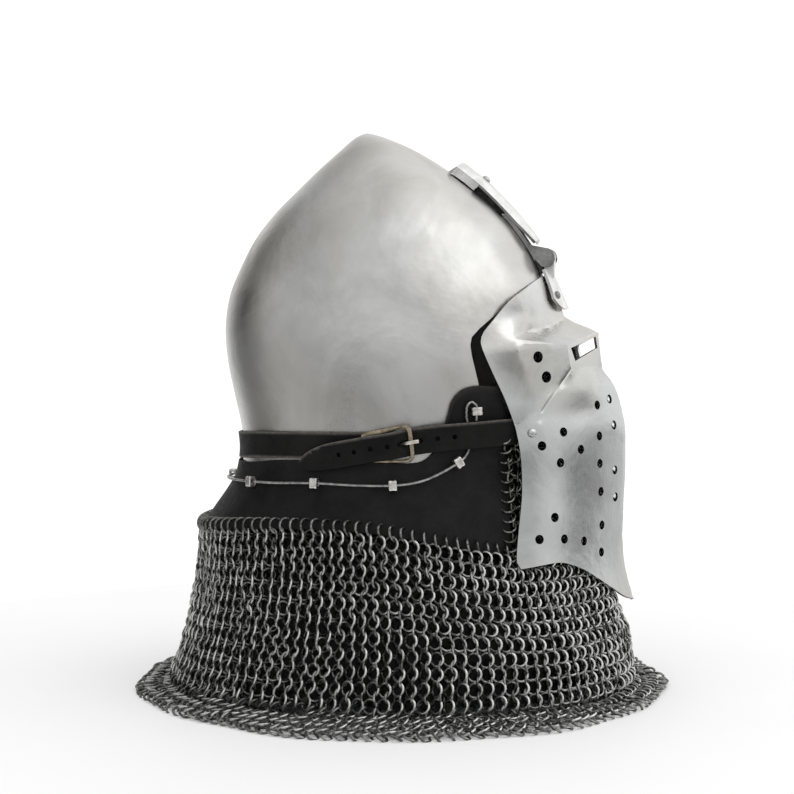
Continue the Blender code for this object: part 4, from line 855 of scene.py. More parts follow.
def ring_metal(name, dark, light, low, high):
    """Blackened steel wire, rubbed bright; each ring has its own tone, and painted light and shade
    round it.
    """
    look = Look(name, light, low, 1.0)
    tone = look.attribute("tone")
    patches = look.noise(420, 4, 0.6)
    share = look.sum(look.spread(patches, 0.3, 0.7, -0.25, 0.35), tone)
    look.set(Base_Color=look.blend(share, dark, light))
    look.set(Roughness=look.spread(look.noise(1500, 3), 0.3, 0.7, low, high))
    look.bump((patches, 0.00015))
    return look.made


def shadow_metal(name):
    """Painted shade: near black, with faint painted rings, seen through the rings and the billet's
    holes.
    """
    look = Look(name, (0.004, 0.004, 0.004), 0.7, 0.0)
    far_ring_shade = look.cells(170, "DISTANCE_TO_EDGE")
    look.set(Base_Color=look.blend(look.spread(far_ring_shade, 0.05, 0.35, 0.0, 1.0),
                                   (0.010, 0.010, 0.010), (0.001, 0.001, 0.001)))
    look.set(Roughness=look.spread(look.noise(400, 3), 0.3, 0.7, 0.6, 0.9), Specular_IOR_Level=0.1)
    look.bump((far_ring_shade, 0.001))
    return look.made


def matte_floor():
    look = Look("pale_floor", (0.9, 0.9, 0.9), 0.7, 0.0)
    tone = look.spread(look.noise(3, 3), 0.3, 0.7, 0.0, 1.0)
    look.set(Base_Color=look.blend(tone, (0.86, 0.86, 0.86), (0.88, 0.88, 0.88)))
    look.bump((look.noise(300, 3), 0.00005))
    return look.made


skull_steel = polished_steel("skull_steel", (0.49, 0.49, 0.475), (0.68, 0.68, 0.67), 0.26, 0.38)
plate_steel = polished_steel("plate_steel", (0.55, 0.56, 0.56), (0.76, 0.77, 0.765), 0.21, 0.31,
                             DARKER_BELOW)
hinge_steel = old_metal("hinge_steel", (0.60, 0.60, 0.59), (0.82, 0.82, 0.81), 0.24, 0.40, scale=90)
knuckle_steel_and_shade = old_metal("knuckle_steel_and_shade", (0.20, 0.20, 0.19), (0.36, 0.36, 0.35), 0.28, 0.44,
                          scale=120)
rivet_steel = old_metal("rivet_steel", (0.40, 0.40, 0.39), (0.66, 0.66, 0.65), 0.22, 0.40,
                        scale=200)
painted_shade_steel = old_metal("painted_shade_steel", (0.04, 0.04, 0.04), (0.10, 0.10, 0.10), 0.50, 0.70)
wire_steel = old_metal("drawn_wire", (0.20, 0.20, 0.20), (0.46, 0.46, 0.45), 0.30, 0.48, scale=240)
lug_metal = old_metal("lug_metal", (0.46, 0.45, 0.42), (0.88, 0.87, 0.84), 0.24, 0.44, scale=220)
brass = old_metal("worn_brass", (0.17, 0.14, 0.095), (0.46, 0.39, 0.28), 0.30, 0.50, scale=200)
tongue_metal = old_metal("tongue_metal", (0.44, 0.41, 0.35), (0.74, 0.71, 0.64), 0.24, 0.40)
band_leather = worn_leather("band_leather", (0.0035, 0.0035, 0.0035), (0.010, 0.010, 0.010),
                            (0.040, 0.036, 0.033))
strap_leather = worn_leather("strap_leather", (0.0030, 0.0030, 0.0030), (0.008, 0.008, 0.0075),
                             (0.120, 0.110, 0.100))
mail_metal = ring_metal("mail_rings", (0.075, 0.075, 0.072), (0.64, 0.64, 0.63), 0.28, 0.46)
# painted shade: the near-black material of the dark walls in the mail and of the sheet under the
# billet
painted_shade_metal = shadow_metal("mail_painted_shade")


# ---------------------------------------------------------------- skull

def make_skull():
    """The bowl in rows that lie closer towards its point, with the face opening cut out."""
    low, top = SKULL_SECTIONS[0][0], SKULL_SECTIONS[-1][0]
    shares = [1 - (1 - i / (SKULL_ROWS - 1)) ** 1.5 for i in range(SKULL_ROWS)]
    levels = [low + (top - low) * share for share in shares]
    outer = [oval(z, 2 * math.pi * i / SKULL_COLUMNS, SKULL_SECTIONS, SKULL_POWER)
             for z in levels for i in range(SKULL_COLUMNS)]
    faces = grid(SKULL_ROWS, SKULL_COLUMNS, ring=True)
    faces.append(tuple(range(len(outer) - SKULL_COLUMNS, len(outer))))
    inner = inward(outer, faces, SKULL_WALL)
    skull = solid("skull_bowl", *skins(outer, inner, faces), skull_steel, sharp=50)
    bake(skull, [("DIFFERENCE", prism("face_cut", list(FACE_OPENING), -FACE_CUT, FACE_CUT))])
    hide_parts("skull")


# ---------------------------------------------------------------- face guard

def bulge(table, x, z):
    ridge, rear, width, power = between(table, z)
    t = min(max((ridge - x) / (ridge - rear), 0.0), 1.0)
    return width * (1 - (1 - t) ** power)


def visor_width(x, z):
    """Half width of the face guard's outer face at a side-view point."""
    widths = [0.0]
    if SIGHT_BOTTOM < z < SIGHT_TOP:
        width, slope = between(CHEEK_SECTIONS, z)
        box = [(d - a * x - c * z) / b for a, b, c, d in SIGHT_PLANES]
        widths.append(min(box + [width - slope * (x - CHEEK_X)]))
    if z >= FOREHEAD_SECTIONS[0][0]:
        widths.append(bulge(FOREHEAD_SECTIONS, x, z))
    if z <= BREATH_SECTIONS[-1][0]:
        widths.append(bulge(BREATH_SECTIONS, x, z))
    (front, rear), (low, high) = TEMPLE_FLOW
    flow = min(max((front - x) / (front - rear), 0.0), 1.0)
    outer = max(widths)
    if flow > 0.0 and low < z < high:
        up = (z - low) / (high - low)
        up = up * up * (3 - 2 * up)
        width, slope = between(CHEEK_SECTIONS, z)
        cheek = width - slope * (x - CHEEK_X)
        soft = cheek + (bulge(FOREHEAD_SECTIONS, x, z) - cheek) * up
        outer += (soft - outer) * flow
    return outer - hollow(x, z)


def hollow(x, z):
    """How deep the grooved crease and the dent in the brow are at a side-view point."""
    spot = Vector((x, z))
    gaps = []
    for a, b in zip(GROOVED, GROOVED[1:]):
        a, b = Vector(a), Vector(b)
        share = min(max((spot - a).dot(b - a) / (b - a).length_squared, 0.0), 1.0)
        gaps.append((spot - a.lerp(b, share)).length)
    width, depth = CREASE_GROOVE
    groove = depth * max(0.0, 1 - min(gaps) / width)
    (middle_x, middle_z), (half_x, half_z), depth = BROW_DENT
    dent = depth * math.exp(-((x - middle_x) / half_x) ** 2 - ((z - middle_z) / half_z) ** 4)
    return groove + dent


def beside(line, distance):
    """A line of (x, z) points moved sideways."""
    moved = []
    for i, point in enumerate(line):
        run = Vector(line[min(i + 1, len(line) - 1)]) - Vector(line[max(i - 1, 0)])
        run.normalize()
        moved.append((point[0] - run.y * distance, point[1] + run.x * distance))
    return moved


def keel(z):
    """x of the face guard's middle ridge."""
    places = []
    if z >= FOREHEAD_SECTIONS[0][0]:
        places.append(between(FOREHEAD_SECTIONS, z)[0])
    if z <= BREATH_SECTIONS[-1][0]:
        places.append(between(BREATH_SECTIONS, z)[0])
    if SIGHT_BOTTOM < z < SIGHT_TOP:
        places.append(min((d - c * z) / a for a, _, c, d in SIGHT_PLANES))
    return max(places)


def on_visor(x, z):
    return Vector((x, -visor_width(x, z), z))


def visor_normal(x, z):
    along_x = on_visor(x + NUDGE, z) - on_visor(x - NUDGE, z)
    along_z = on_visor(x, z + NUDGE) - on_visor(x, z - NUDGE)
    return along_x.cross(along_z).normalized()


def round_hole(x, z, diameter):
    """Side-view outline of a hole drilled square to the plate."""
    place, normal = on_visor(x, z), visor_normal(x, z)
    level = Vector((0, 0, 1)).cross(normal).normalized()
    upright = normal.cross(level)
    points = [place + a * level + b * upright for a, b in circle(diameter / 2, HOLE_SIDES)]
    return [(point.x, point.z) for point in points]


def visor_lattice():
    """Side-view points spread evenly over the face guard's outer face."""
    points = []
    z = VISOR_POINT + SHEET_SPACING / 2
    while z < VISOR_TOP:
        end = keel(z)
        samples = [VISOR_REACH + (end - VISOR_REACH) * i / 200 for i in range(201)]
        places = [on_visor(x, z) for x in samples]
        length = wanted = 0.0
        for a, b in zip(places, places[1:]):
            length += (b - a).length
            if length >= wanted:
                points.append((b.x, z))
                wanted += SHEET_SPACING
        z += SHEET_SPACING * 0.9
    return points


def weld(points, faces):
    """The mesh with the points that share a place made one."""
    seen, kept, joined = {}, [], []
    for face in faces:
        corners = []
        for i in face:
            key = tuple(round(value, 6) + 0.0 for value in points[i])
            if key not in seen:
                seen[key] = len(kept)
                kept.append(points[i])
            corners.append(seen[key])
        if len(set(corners)) == len(corners):
            joined.append(tuple(corners))
    return kept, joined


def relax(points, faces, held):
    """The points drawn halfway to their neighbours, except along open edges and creases."""
    places = np.array([tuple(p) for p in points])
    edges = {}
    for face in faces:
        for a, b in zip(face, face[1:] + face[:1]):
            edge = min(a, b), max(a, b)
            edges[edge] = edges.get(edge, 0) + 1
    free = np.ones(len(points), bool)
    for (a, b), uses in edges.items():
        if uses == 1:
            free[[a, b]] = False
    for i, point in enumerate(points):
        if tuple(round(value, 5) for value in (point.x, abs(point.y), point.z)) in held:
            free[i] = False
    pairs = np.array(list(edges))
    count = np.bincount(pairs.ravel(), minlength=len(points))[:, None]
    total = np.zeros_like(places)
    np.add.at(total, pairs[:, 0], places[pairs[:, 1]])
    np.add.at(total, pairs[:, 1], places[pairs[:, 0]])
    places[free] += 0.5 * (total / count - places)[free]
    return [Vector(p) for p in places]


def make_visor():
    """One half as a flat sheet laid over the outer face, then both halves joined at the keel."""
    rear = smooth([(keel(VISOR_TOP), VISOR_TOP)] + list(VISOR_REAR), EDGE_SPACING)
    foot = smooth(list(VISOR_FOOT) + [(keel(VISOR_POINT), VISOR_POINT)], EDGE_SPACING)
    steps = 90
    levels = [VISOR_POINT + (VISOR_TOP - VISOR_POINT) * i / steps for i in range(1, steps)]
    levels = [z for z in levels if min(abs(z - end) for end in RIDGE_CORNERS) > SHEET_GAP]
    ridge = [(keel(z), z) for z in sorted(levels + list(RIDGE_CORNERS))]
    outline = [tuple(p) for p in rear] + [tuple(p) for p in foot] + ridge
    ends = dict(zip(("chin", "brow", "root"), [(keel(z), z) for z in RIDGE_CORNERS]))
    guides = []
    for crease in CREASES:
        crease = [ends.get(p, p) for p in crease]
        line = [Vector(crease[0])]
        for a, b in zip(crease, crease[1:]):
            count = max(1, round((Vector(b) - Vector(a)).length / SHEET_SPACING))
            line += [Vector(a).lerp(Vector(b), (i + 1) / count) for i in range(count)]
        guides.append([tuple(p) for p in line])
    groove = [tuple(p) for p in smooth(GROOVED, EDGE_SPACING)][1:]
    guides += [beside(groove, side * CREASE_GROOVE[0]) for side in (-1, 1)]
    holes = [round_hole(x, z, BREATH_HOLE) for x, z in BREATHS]
    holes += [round_hole(x, z, SIDE_HOLE) for x, z in SIDE_HOLES]
    slit = []
    for a, b in zip(SIGHT, SIGHT[1:] + SIGHT[:1]):
        slit += [tuple(Vector(a).lerp(Vector(b), i / 5)) for i in range(5)]
    holes.append(slit)
    flat, faces = sheet(outline, holes, guides, visor_lattice(), on_visor)
    points = [on_visor(*p) for p in flat]
    faces += [tuple(i + len(points) for i in reversed(face)) for face in faces]
    points, faces = weld(points + mirrored(points), faces)
    held = {(round(x, 5), round(visor_width(x, z), 5), round(z, 5))
            for line in guides for x, z in line}
    points = relax(points, faces, held)
    inner = inward(points, faces, VISOR_WALL)
    visor = solid("visor_plate", *skins(points, inner, faces), plate_steel, sharp=15,
                  bevel=PLATE_BEVEL, body="face_guard")
    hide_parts("visor")


# ---------------------------------------------------------------- hinge

def make_bracket():
    line = smooth(BRACKET_LINE, 0.0040)
    across = evenly(HINGE_HALF, 8)
    outer = []
    for x, z in line:
        for y in across:
            dip = between(BRACKET_CROWN, x)[0] * (y / HINGE_HALF) ** 2
            outer.append(Vector((x, y, z)) + BRACKET_DOWN * dip)
    faces = [face[::-1] for face in grid(len(line), len(across))]
    inner = inward(outer, faces, BRACKET_WALL)
    bracket = solid("bracket_plate", *skins(outer, inner, faces), hinge_steel)
    steps = []
    for side, name in ((-1, "right_flange"), (1, "left_flange")):
        low, high = sorted((side * (HINGE_HALF - 0.0001), side * (HINGE_HALF - BRACKET_WALL)))
        steps.append(("UNION", prism(name, list(BRACKET_FLANGE), low, high)))
    bake(bracket, steps)
    # painted shade: the bracket's side faces take the darker knuckle steel
    second_look(bracket, knuckle_steel_and_shade,
                lambda face: abs(face.normal.y) > 0.6 and face.center.x > BRACKET_FLANGE[4][0])
    soften(bracket, PLATE_BEVEL)
    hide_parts("hinge_bracket")
    # painted shade: a near-black block in the slot under the bracket
    ends = [[Vector((x, y, z)) for x, z in BRACKET_CORE] for y in (-CORE_HALF, CORE_HALF)]
    core = solid("bracket_core", *skins(*ends, [tuple(range(len(BRACKET_CORE)))]), painted_shade_steel)


def make_strip():
    """The strip riveted to the skull, with the two outer knuckles."""
    across = evenly(STRIP_HALF, 6)
    levels = [STRIP_END + (STRIP_TOP - STRIP_END) * i / 10 for i in range(11)]
    inner, outer = [], []
    for z in levels:
        middle, reach, half = spans(SKULL_SECTIONS, z)
        above, below = between(SKULL_SECTIONS, z + 0.001)[1], between(SKULL_SECTIONS, z - 0.001)[1]
        normal = Vector((1.0, 0.0, (below - above) / 0.002)).normalized()
        for y in across:
            x = middle + reach * (1 - abs(y / half) ** SKULL_POWER) ** (1 / SKULL_POWER)
            inner.append(Vector((x, y, z)) + normal * STRIP_LIFT)
            outer.append(Vector((x, y, z)) + normal * (STRIP_LIFT + STRIP_WALL))
    faces = grid(len(levels), len(across))
    strip = solid("hinge_strip", *skins(outer, inner, faces), knuckle_steel_and_shade)
    middle = (HINGE.x, HINGE.z)
    drop = list(NECK) + arc(middle, STRIP_DROP, 88, -112, 30)
    room = arc(middle, KNUCKLE_RADIUS + KNUCKLE_GAPS[0], 0, 354, 59)
    bake(strip, [
        ("UNION", prism("knuckles", drop, -HINGE_HALF + 0.00005, HINGE_HALF - 0.00005)),
        ("DIFFERENCE", prism("knuckle_room", room, -KNUCKLE_HALF, KNUCKLE_HALF)),
    ])
    half = STRIP_HALF + 0.0002
    # painted shade: the strip behind the knuckles is painted near black
    second_look(strip, painted_shade_steel,
                lambda face: abs(face.center.y) < half and face.center.z < STRIP_SHADE)
    soften(strip, STRIP_BEVEL)
    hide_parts("hinge_strap")


def leaf_place(y, z, lift):
    """A point over the face guard's brow, by its lift."""
    ridge, rear, width, power = between(FOREHEAD_SECTIONS, z)
    x = ridge - (ridge - rear) * (1 - (1 - abs(y) / width) ** (1 / power))
    if abs(y) > 0.001:
        ahead = visor_normal(x, z)
        normal = Vector((ahead.x, math.copysign(ahead.y, y), ahead.z))
    else:
        fall = (keel(z + NUDGE) - keel(z - NUDGE)) / (2 * NUDGE)
        normal = Vector((1.0, 0.0, -fall)).normalized()
    return Vector((x, y, z)) + normal * lift


def leaf_lift(z):
    return between(((LEAF_END, LEAF_LIFT[1]), (LEAF_TOP, LEAF_LIFT[0])), z)[0]


def leaf_half(z):
    return between(((LEAF_END, LEAF_HALF[0]), (LEAF_TOP, LEAF_HALF[1])), z)[0]


def make_leaf():
    """The hinge's lower leaf, riveted to the face guard, with the middle knuckle."""
    across = evenly(1.0, 10)
    levels = 14
    inner, outer = [], []
    for i in range(levels + 1):
        for share in across:
            end = LEAF_END + LEAF_ROUND * abs(share) ** 2.5
            z = end + (LEAF_TOP - end) * i / levels
            y = share * leaf_half(z)
            inner.append(leaf_place(y, z, leaf_lift(z)))
            outer.append(leaf_place(y, z, leaf_lift(z) + LEAF_WALL))
    faces = grid(levels + 1, len(across))
    leaf = solid("leaf_plate", *skins(outer, inner, faces), hinge_steel, body="face_guard")
    half = KNUCKLE_HALF - KNUCKLE_GAPS[1]
    barrel = arc((HINGE.x, HINGE.z), KNUCKLE_RADIUS, 0, 250, 36)
    bake(leaf, [("UNION", prism("middle_knuckle", barrel + list(LEAF_NECK), -half, half))])
    soften(leaf, PLATE_BEVEL)
    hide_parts("hinge_leaf")


def rivet(name, place, normal, size, body, stands_for, look=None):
    profile = [(radius * size, height * size) for radius, height in RIVET_DOME]
    made = lathe(name, profile, place, normal, look or rivet_steel, body=body)
    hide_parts(stands_for)


# ---------------------------------------------------------------- leather band

def band_place(share, z, side):
    """A point on the band, from the middle of the back (0) to the front edge (1)."""
    middle, reach, _ = spans(LEATHER_SECTIONS, z)
    last = math.acos(((LEATHER_STRAIGHT - middle) / reach) ** (LEATHER_POWER / 2))
    if share <= LEATHER_BEND:
        angle = math.pi - (math.pi - last) * share / LEATHER_BEND
        place = oval(z, angle, LEATHER_SECTIONS, LEATHER_POWER)
        return Vector((place.x, side * place.y, z))
    end = between(LEATHER_FRONT, z)[0]
    x = LEATHER_STRAIGHT + (end - LEATHER_STRAIGHT) * (share - LEATHER_BEND) / (1 - LEATHER_BEND)
    return on_band(x, z, side)


def band_edges(share):
    """z of the band's lower and upper edge."""
    return between(LEATHER_EDGES, band_place(share, LEATHER_LEVEL, 1).x)


def edge_over(place):
    """Height of the band's lower edge in the same direction from the origin."""
    wanted = math.atan2(abs(place.y), place.x)
    turns = [abs(turn - wanted) for turn in BAND_TURNS]
    return band_edges(turns.index(min(turns)) / BAND_STEPS)[0]


def band_turn(share):
    spot = band_place(share, HANG_Z, 1)
    return math.atan2(spot.y, spot.x)


BAND_TURNS = [band_turn(i / BAND_STEPS) for i in range(BAND_STEPS + 1)]


def make_leather():
    levels = 20
    shares = [LEATHER_BEND * i / 70 for i in range(71)]
    shares += [LEATHER_BEND + (1 - LEATHER_BEND) * (i + 1) / 10 for i in range(10)]
    stations = [(s, 1) for s in reversed(shares)] + [(s, -1) for s in shares[1:]]
    outer, rim = [], []
    for level in range(levels + 1):
        up = level / levels
        for share, side in stations:
            low, high = band_edges(share)
            wave = 0.0004 * math.sin(share * 31 + side) * math.sin(up * 5)
            place = band_place(share, low + (high - low) * up, side)
            away = Vector((place.x + 0.02, place.y, 0)).normalized()
            outer.append(place + away * wave)
            # painted highlight: the upper edge of the front tab is marked paler
            rim.append(0.5 if level == levels and share > LEATHER_TAB else 0.0)
    faces = grid(levels + 1, len(stations))
    inner = inward(outer, faces, LEATHER)
    leather = solid("leather_band", *skins(outer, inner, faces), band_leather, bevel=LEATHER_BEVEL)
    store(leather, "edge", rim + [0.0] * len(inner))
    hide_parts("aventail_leather")


def make_lugs():
    """Short drilled lugs that stand on the band; the wire runs through them."""
    for side, word in ((-1, "right"), (1, "left")):
        places = [on_band(x, z, side, lift) for x, z, lift in WIRE_ROUTE]
        for number, index in enumerate(VERVELLES):
            place = places[index]
            x, z, _ = WIRE_ROUTE[index]
            normal = (on_band(x, z, side, 0.0300) - place).normalized()
            along = places[index + 1] - places[max(index - 1, 0)]
            level = (along - normal * along.dot(normal)).normalized()
            lug(f"{word}_{number + 1}", place, level, normal)
    place = band_place(0.0, WIRE_BACK, 1) - Vector((WIRE_STAND, 0, 0))
    lug("back", place, Vector((0, 1, 0)), Vector((-1, 0, 0)))


def lug(word, place, level, normal):
    """A ring stretched along the wire, with its bore left open."""
    along, up, out = VERVELLE_SIZE
    upright = normal.cross(level)
    rounds, sides = 28, 24
    points = []
    for i in range(rounds):
        turn = 2 * math.pi * i / rounds
        shift, grow = math.cos(turn), math.sin(turn)
        wide = 0.5 + 0.5 * math.copysign(abs(grow) ** 0.35, grow)
        shift = math.copysign(abs(shift) ** 0.45, shift)   # square shoulders, a waist in the middle
        wide -= 0.16 * math.exp(-((shift / 0.12) ** 2)) if grow > 0 else 0.0
        for x, y in rounded(1.0, 1.0, sides, 5.0):
            deep = VERVELLE_BORE + (out / 2 - VERVELLE_BORE) * wide
            tall = VERVELLE_BORE + (up / 2 - VERVELLE_BORE) * wide
            points.append(place + level * along / 2 * shift + normal * x * deep
                          + upright * y * tall)
    faces = grid(rounds, sides, ring=True, closed=True)
    made = solid(f"lug_{word}", points, faces, lug_metal, sharp=80)
    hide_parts(f"vervelle_{word}")


def make_wire():
    """From the left cheek round the back to the right one, through every lug."""
    right = smooth([on_band(x, z, -1, lift) for x, z, lift in WIRE_ROUTE], 0.0030)
    back = []
    for i in range(1, 36):
        share = WIRE_TURN * (1 - i / 18)
        place = band_place(abs(share), WIRE_BACK + 0.006 * abs(share), 1 if share > 0 else -1)
        away = Vector((place.x + 0.030, place.y, 0)).normalized()
        back.append(place + away * WIRE_STAND)
    route = mirrored(right)[::-1] + back + right
    wire = bar("lug_wire", route, circle(WIRE_RADIUS, 10), wire_steel)
    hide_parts("retaining_wire")


# ---------------------------------------------------------------- straps and buckle

def around_back(angle, z, lift):
    """A point off the skull's back, by its angle and lift."""
    _, reach, half = spans(SKULL_SECTIONS, z)
    place = oval(z, angle, SKULL_SECTIONS, SKULL_POWER)
    across = abs(math.cos(angle)) ** (2 - 2 / SKULL_POWER) / reach
    along = abs(math.sin(angle)) ** (2 - 2 / SKULL_POWER) / half
    normal = Vector((math.copysign(across, math.cos(angle)),
                     math.copysign(along, math.sin(angle)), 0)).normalized()
    return place + normal * lift


def make_strap():
    """From the left cheek, round the back of the head, to the buckle."""
    stations = []
    left = smooth(STRAP_ROUTE, 0.0040)
    for x, z, lift in left:
        stations.append(lambda dz, up, x=x, z=z, lift=lift: seat(x, z + dz, lift + up, 1))
    start_x, start_z, lift = STRAP_ROUTE[-1]
    middle, reach, _ = spans(SKULL_SECTIONS, start_z)
    spread = math.acos(((middle - start_x) / reach) ** (SKULL_POWER / 2))
    steps = 36
    for i in range(1, steps):
        angle = math.pi - spread + 2 * spread * i / steps
        z = STRAP_BACK + (start_z - STRAP_BACK) * (abs(angle - math.pi) / spread) ** 2
        stations.append(
            lambda dz, up, angle=angle, z=z, lift=lift: around_back(angle, z + dz, lift + up)
        )
    for x, z, lift in reversed(left):
        if x < STRAP_END - 0.002:
            stations.append(lambda dz, up, x=x, z=z, lift=lift: seat(x, z + dz, lift + up, -1))
    end_z = STRAP_ROUTE[-3][1]
    stations.append(lambda dz, up: seat(STRAP_END, end_z + dz, SEAT + up, -1))
    rows = [STRAP_WIDTH * (i / 8 - 0.5) for i in range(9)]
    outer = [station(dz, STRAP) for dz in rows for station in stations]
    inner = [station(dz, 0.0) for dz in rows for station in stations]
    faces = grid(len(rows), len(stations))
    strap = solid("long_strap", *skins(outer, inner, faces), strap_leather, bevel=LEATHER_BEVEL)
    rim = [1.0 if i in (0, 8) else 0.0 for i in range(9) for _ in stations]
    store(strap, "edge", rim + [0.0] * len(inner))
    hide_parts("strap_long")


def billet_path():
    """Middle line of the billet with its length so far: (length, x, z, lift)."""
    line = smooth(BILLET_ROUTE, 0.0030)
    length, path = 0.0, []
    for i, point in enumerate(line):
        if i:
            length += (seat(*point) - seat(*line[i - 1])).length
        path.append((length, *point))
    return path


def make_billet():
    """From the right cheek, through the buckle, to its pointed end."""
    path = billet_path()
    total, half = path[-1][0], BILLET_WIDTH / 2

    def over(length, across, up=STRAP):
        x, z, lift = between(path, length)
        ahead = between(path, min(length + 0.002, total))
        behind = between(path, max(length - 0.002, 0.0))
        run = (Vector(ahead[:2]) - Vector(behind[:2])).normalized()
        return seat(x + run.y * across, z - run.x * across, lift + up)

    def edge(side, run, steps):
        runs = round((total - run) / SHEET_SPACING)
        line = [((total - run) * i / runs, side * half) for i in range(runs)]
        for i in range(steps):
            turn = i / steps * math.pi / 2
            reach = (side * half + BILLET_DROP) * math.cos(turn) ** BILLET_CURVE
            line.append((total - run * (1 - math.sin(turn)), reach - BILLET_DROP))
        return line

    upper = edge(1, BILLET_TIP[1], 18)
    outline = edge(-1, BILLET_TIP[0], 8) + [(total, -BILLET_DROP)] + upper[::-1]
    tongue_at = min(path, key=lambda row: abs(row[1] - TONGUE_AT))[0]
    holes = []
    for i in range(BILLET_HOLES[0], BILLET_HOLES[1] + 1):
        middle = tongue_at + i * BILLET_PITCH
        longer = (TONGUE_SLOT - BILLET_HOLE) / 2 if i == 0 else 0.0
        holes.append([
            (middle + u + math.copysign(longer, u), v * (1.1 if i == 0 else 1.0))
            for u, v in circle(BILLET_HOLE / 2, 16)
        ])
    rows = [(u, v * half / 4) for u in np.arange(SHEET_SPACING, total, SHEET_SPACING)
            for v in range(-3, 4)]
    flat, faces = sheet(outline, holes, [], rows, over)
    outer = [over(u, v) for u, v in flat]
    inner = [over(u, v, 0.0) for u, v in flat]
    billet = solid("buckled_billet", *skins(outer, inner, faces), strap_leather,
                   bevel=LEATHER_BEVEL)
    # only the upper edge is marked paler: burnish and painted highlight
    burnish_and_highlight = {(round(u, 5), round(v, 5)) for u, v in upper}
    rim = [1.0 if (round(u, 5), round(v, 5)) in burnish_and_highlight else 0.0 for u, v in flat]
    store(billet, "edge", rim + [0.0] * len(inner))
    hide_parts("strap_billet")
    # painted shade: a near-black sheet under the billet, seen through its holes
    places = [(total * i / 60, v) for v in (-0.0030, 0.0030) for i in range(2, 56)]
    outer, inner = ([over(u, v, up) for u, v in places] for up in (-0.0002, -0.0005))
    hole_shade = solid("billet_hole_shade", *skins(outer, inner, grid(2, 54)), painted_shade_metal)


def rounded(wide, deep, count=12, power=2.6):
    """An oval section, flatter than a circle on its sides."""
    return [(wide * bent(x, power), deep * bent(y, power)) for x, y in circle(1.0, count)]


def make_buckle():
    rows = smooth([(*seat(*row[:3]), row[3]) for row in BUCKLE], 0.0020, closed=True)
    route = [row.to_3d() for row in rows]
    middle = sum(route, Vector()) / len(route)
    across = [(p - middle).normalized() for p in route]
    frame_bar = bar("buckle_bars", route, rounded(0.0012, 1.0), brass, closed=True, up=across,
                    sizes=[row[3] for row in rows])
    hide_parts("buckle_frame")
    route = smooth([seat(*row) for row in TONGUE], 0.0015)
    tongue = bar("tongue_bar", route, rounded(0.0009, 0.0014), tongue_metal)
    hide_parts("buckle_tongue")


# ---------------------------------------------------------------- mail

def mail_place(angle, z):
    """A point on the plain curtain; the front of a level is more pointed than its back."""
    back, front, half, power = between(MAIL_SECTIONS, z)
    cosine, sine = math.cos(angle), math.sin(angle)
    bend = power if cosine > 0 else MAIL_BACK_POWER
    reach = front if cosine > 0 else -back
    return Vector((reach * bent(cosine, bend), half * bent(sine, bend), z))


def even_turns(z):
    """The angles of points that lie evenly spread round a level of the curtain."""
    turns = np.linspace(-math.pi, math.pi, TURN_STEPS + 1)
    line = np.array([mail_place(turn, z)[:] for turn in turns])
    run = np.concatenate([[0.0], np.cumsum(np.linalg.norm(np.diff(line, axis=0), axis=1))])
    return np.interp(np.linspace(0, run[-1], TURN_STEPS + 1), run, turns)


MAIL_LEVELS = [0.004 + 0.206 * i / LEVEL_STEPS for i in range(LEVEL_STEPS + 1)]
MAIL_TURNS = [even_turns(z) for z in MAIL_LEVELS]


def turn_at(share, z):
    """The angle at a share of the way round a level of the curtain, from back to back."""
    at = min(max((z - MAIL_LEVELS[0]) / (MAIL_LEVELS[1] - MAIL_LEVELS[0]), 0), LEVEL_STEPS - 0.001)
    index = int(at)
    spots = np.arange(TURN_STEPS + 1) / TURN_STEPS
    low = np.interp(share % 1.0, spots, MAIL_TURNS[index])
    high = np.interp(share % 1.0, spots, MAIL_TURNS[index + 1])
    return float(low + (high - low) * (at - index))


def drape(angle, z):
    """How far the hanging curtain swells from its plain form."""
    hang = max(0.0, 1 - z / 0.12)
    swell = (math.sin(5 * angle + 0.8) + 0.7 * math.sin(9 * angle + 40 * z)
             + 0.5 * math.sin(17 * angle))
    return DRAPE * swell * math.sin(math.pi * min(1, hang * 0.85 + 0.15))


def curtain_spot(share, z):
    """Place, level direction, upward direction and outward direction on the curtain."""
    angle = turn_at(share, z)
    here = mail_place(angle, z)
    level = (mail_place(angle + 0.01, z) - mail_place(angle - 0.01, z)).normalized()
    low = max(z - 0.002, 0.0045)
    upward = (mail_place(angle, low + 0.004) - mail_place(angle, low)).normalized()
    out = level.cross(upward).normalized()
    return here + out * drape(angle, z), level, upward, out


def lean(level, upward, out, yaw, tip):
    """Two directions that span a ring's plane: it faces out, turned by yaw about upward."""
    across = level * math.cos(yaw) + out * math.sin(yaw)
    rise = upward * math.cos(tip) + out * math.sin(tip)
    return across.normalized(), rise.normalized()


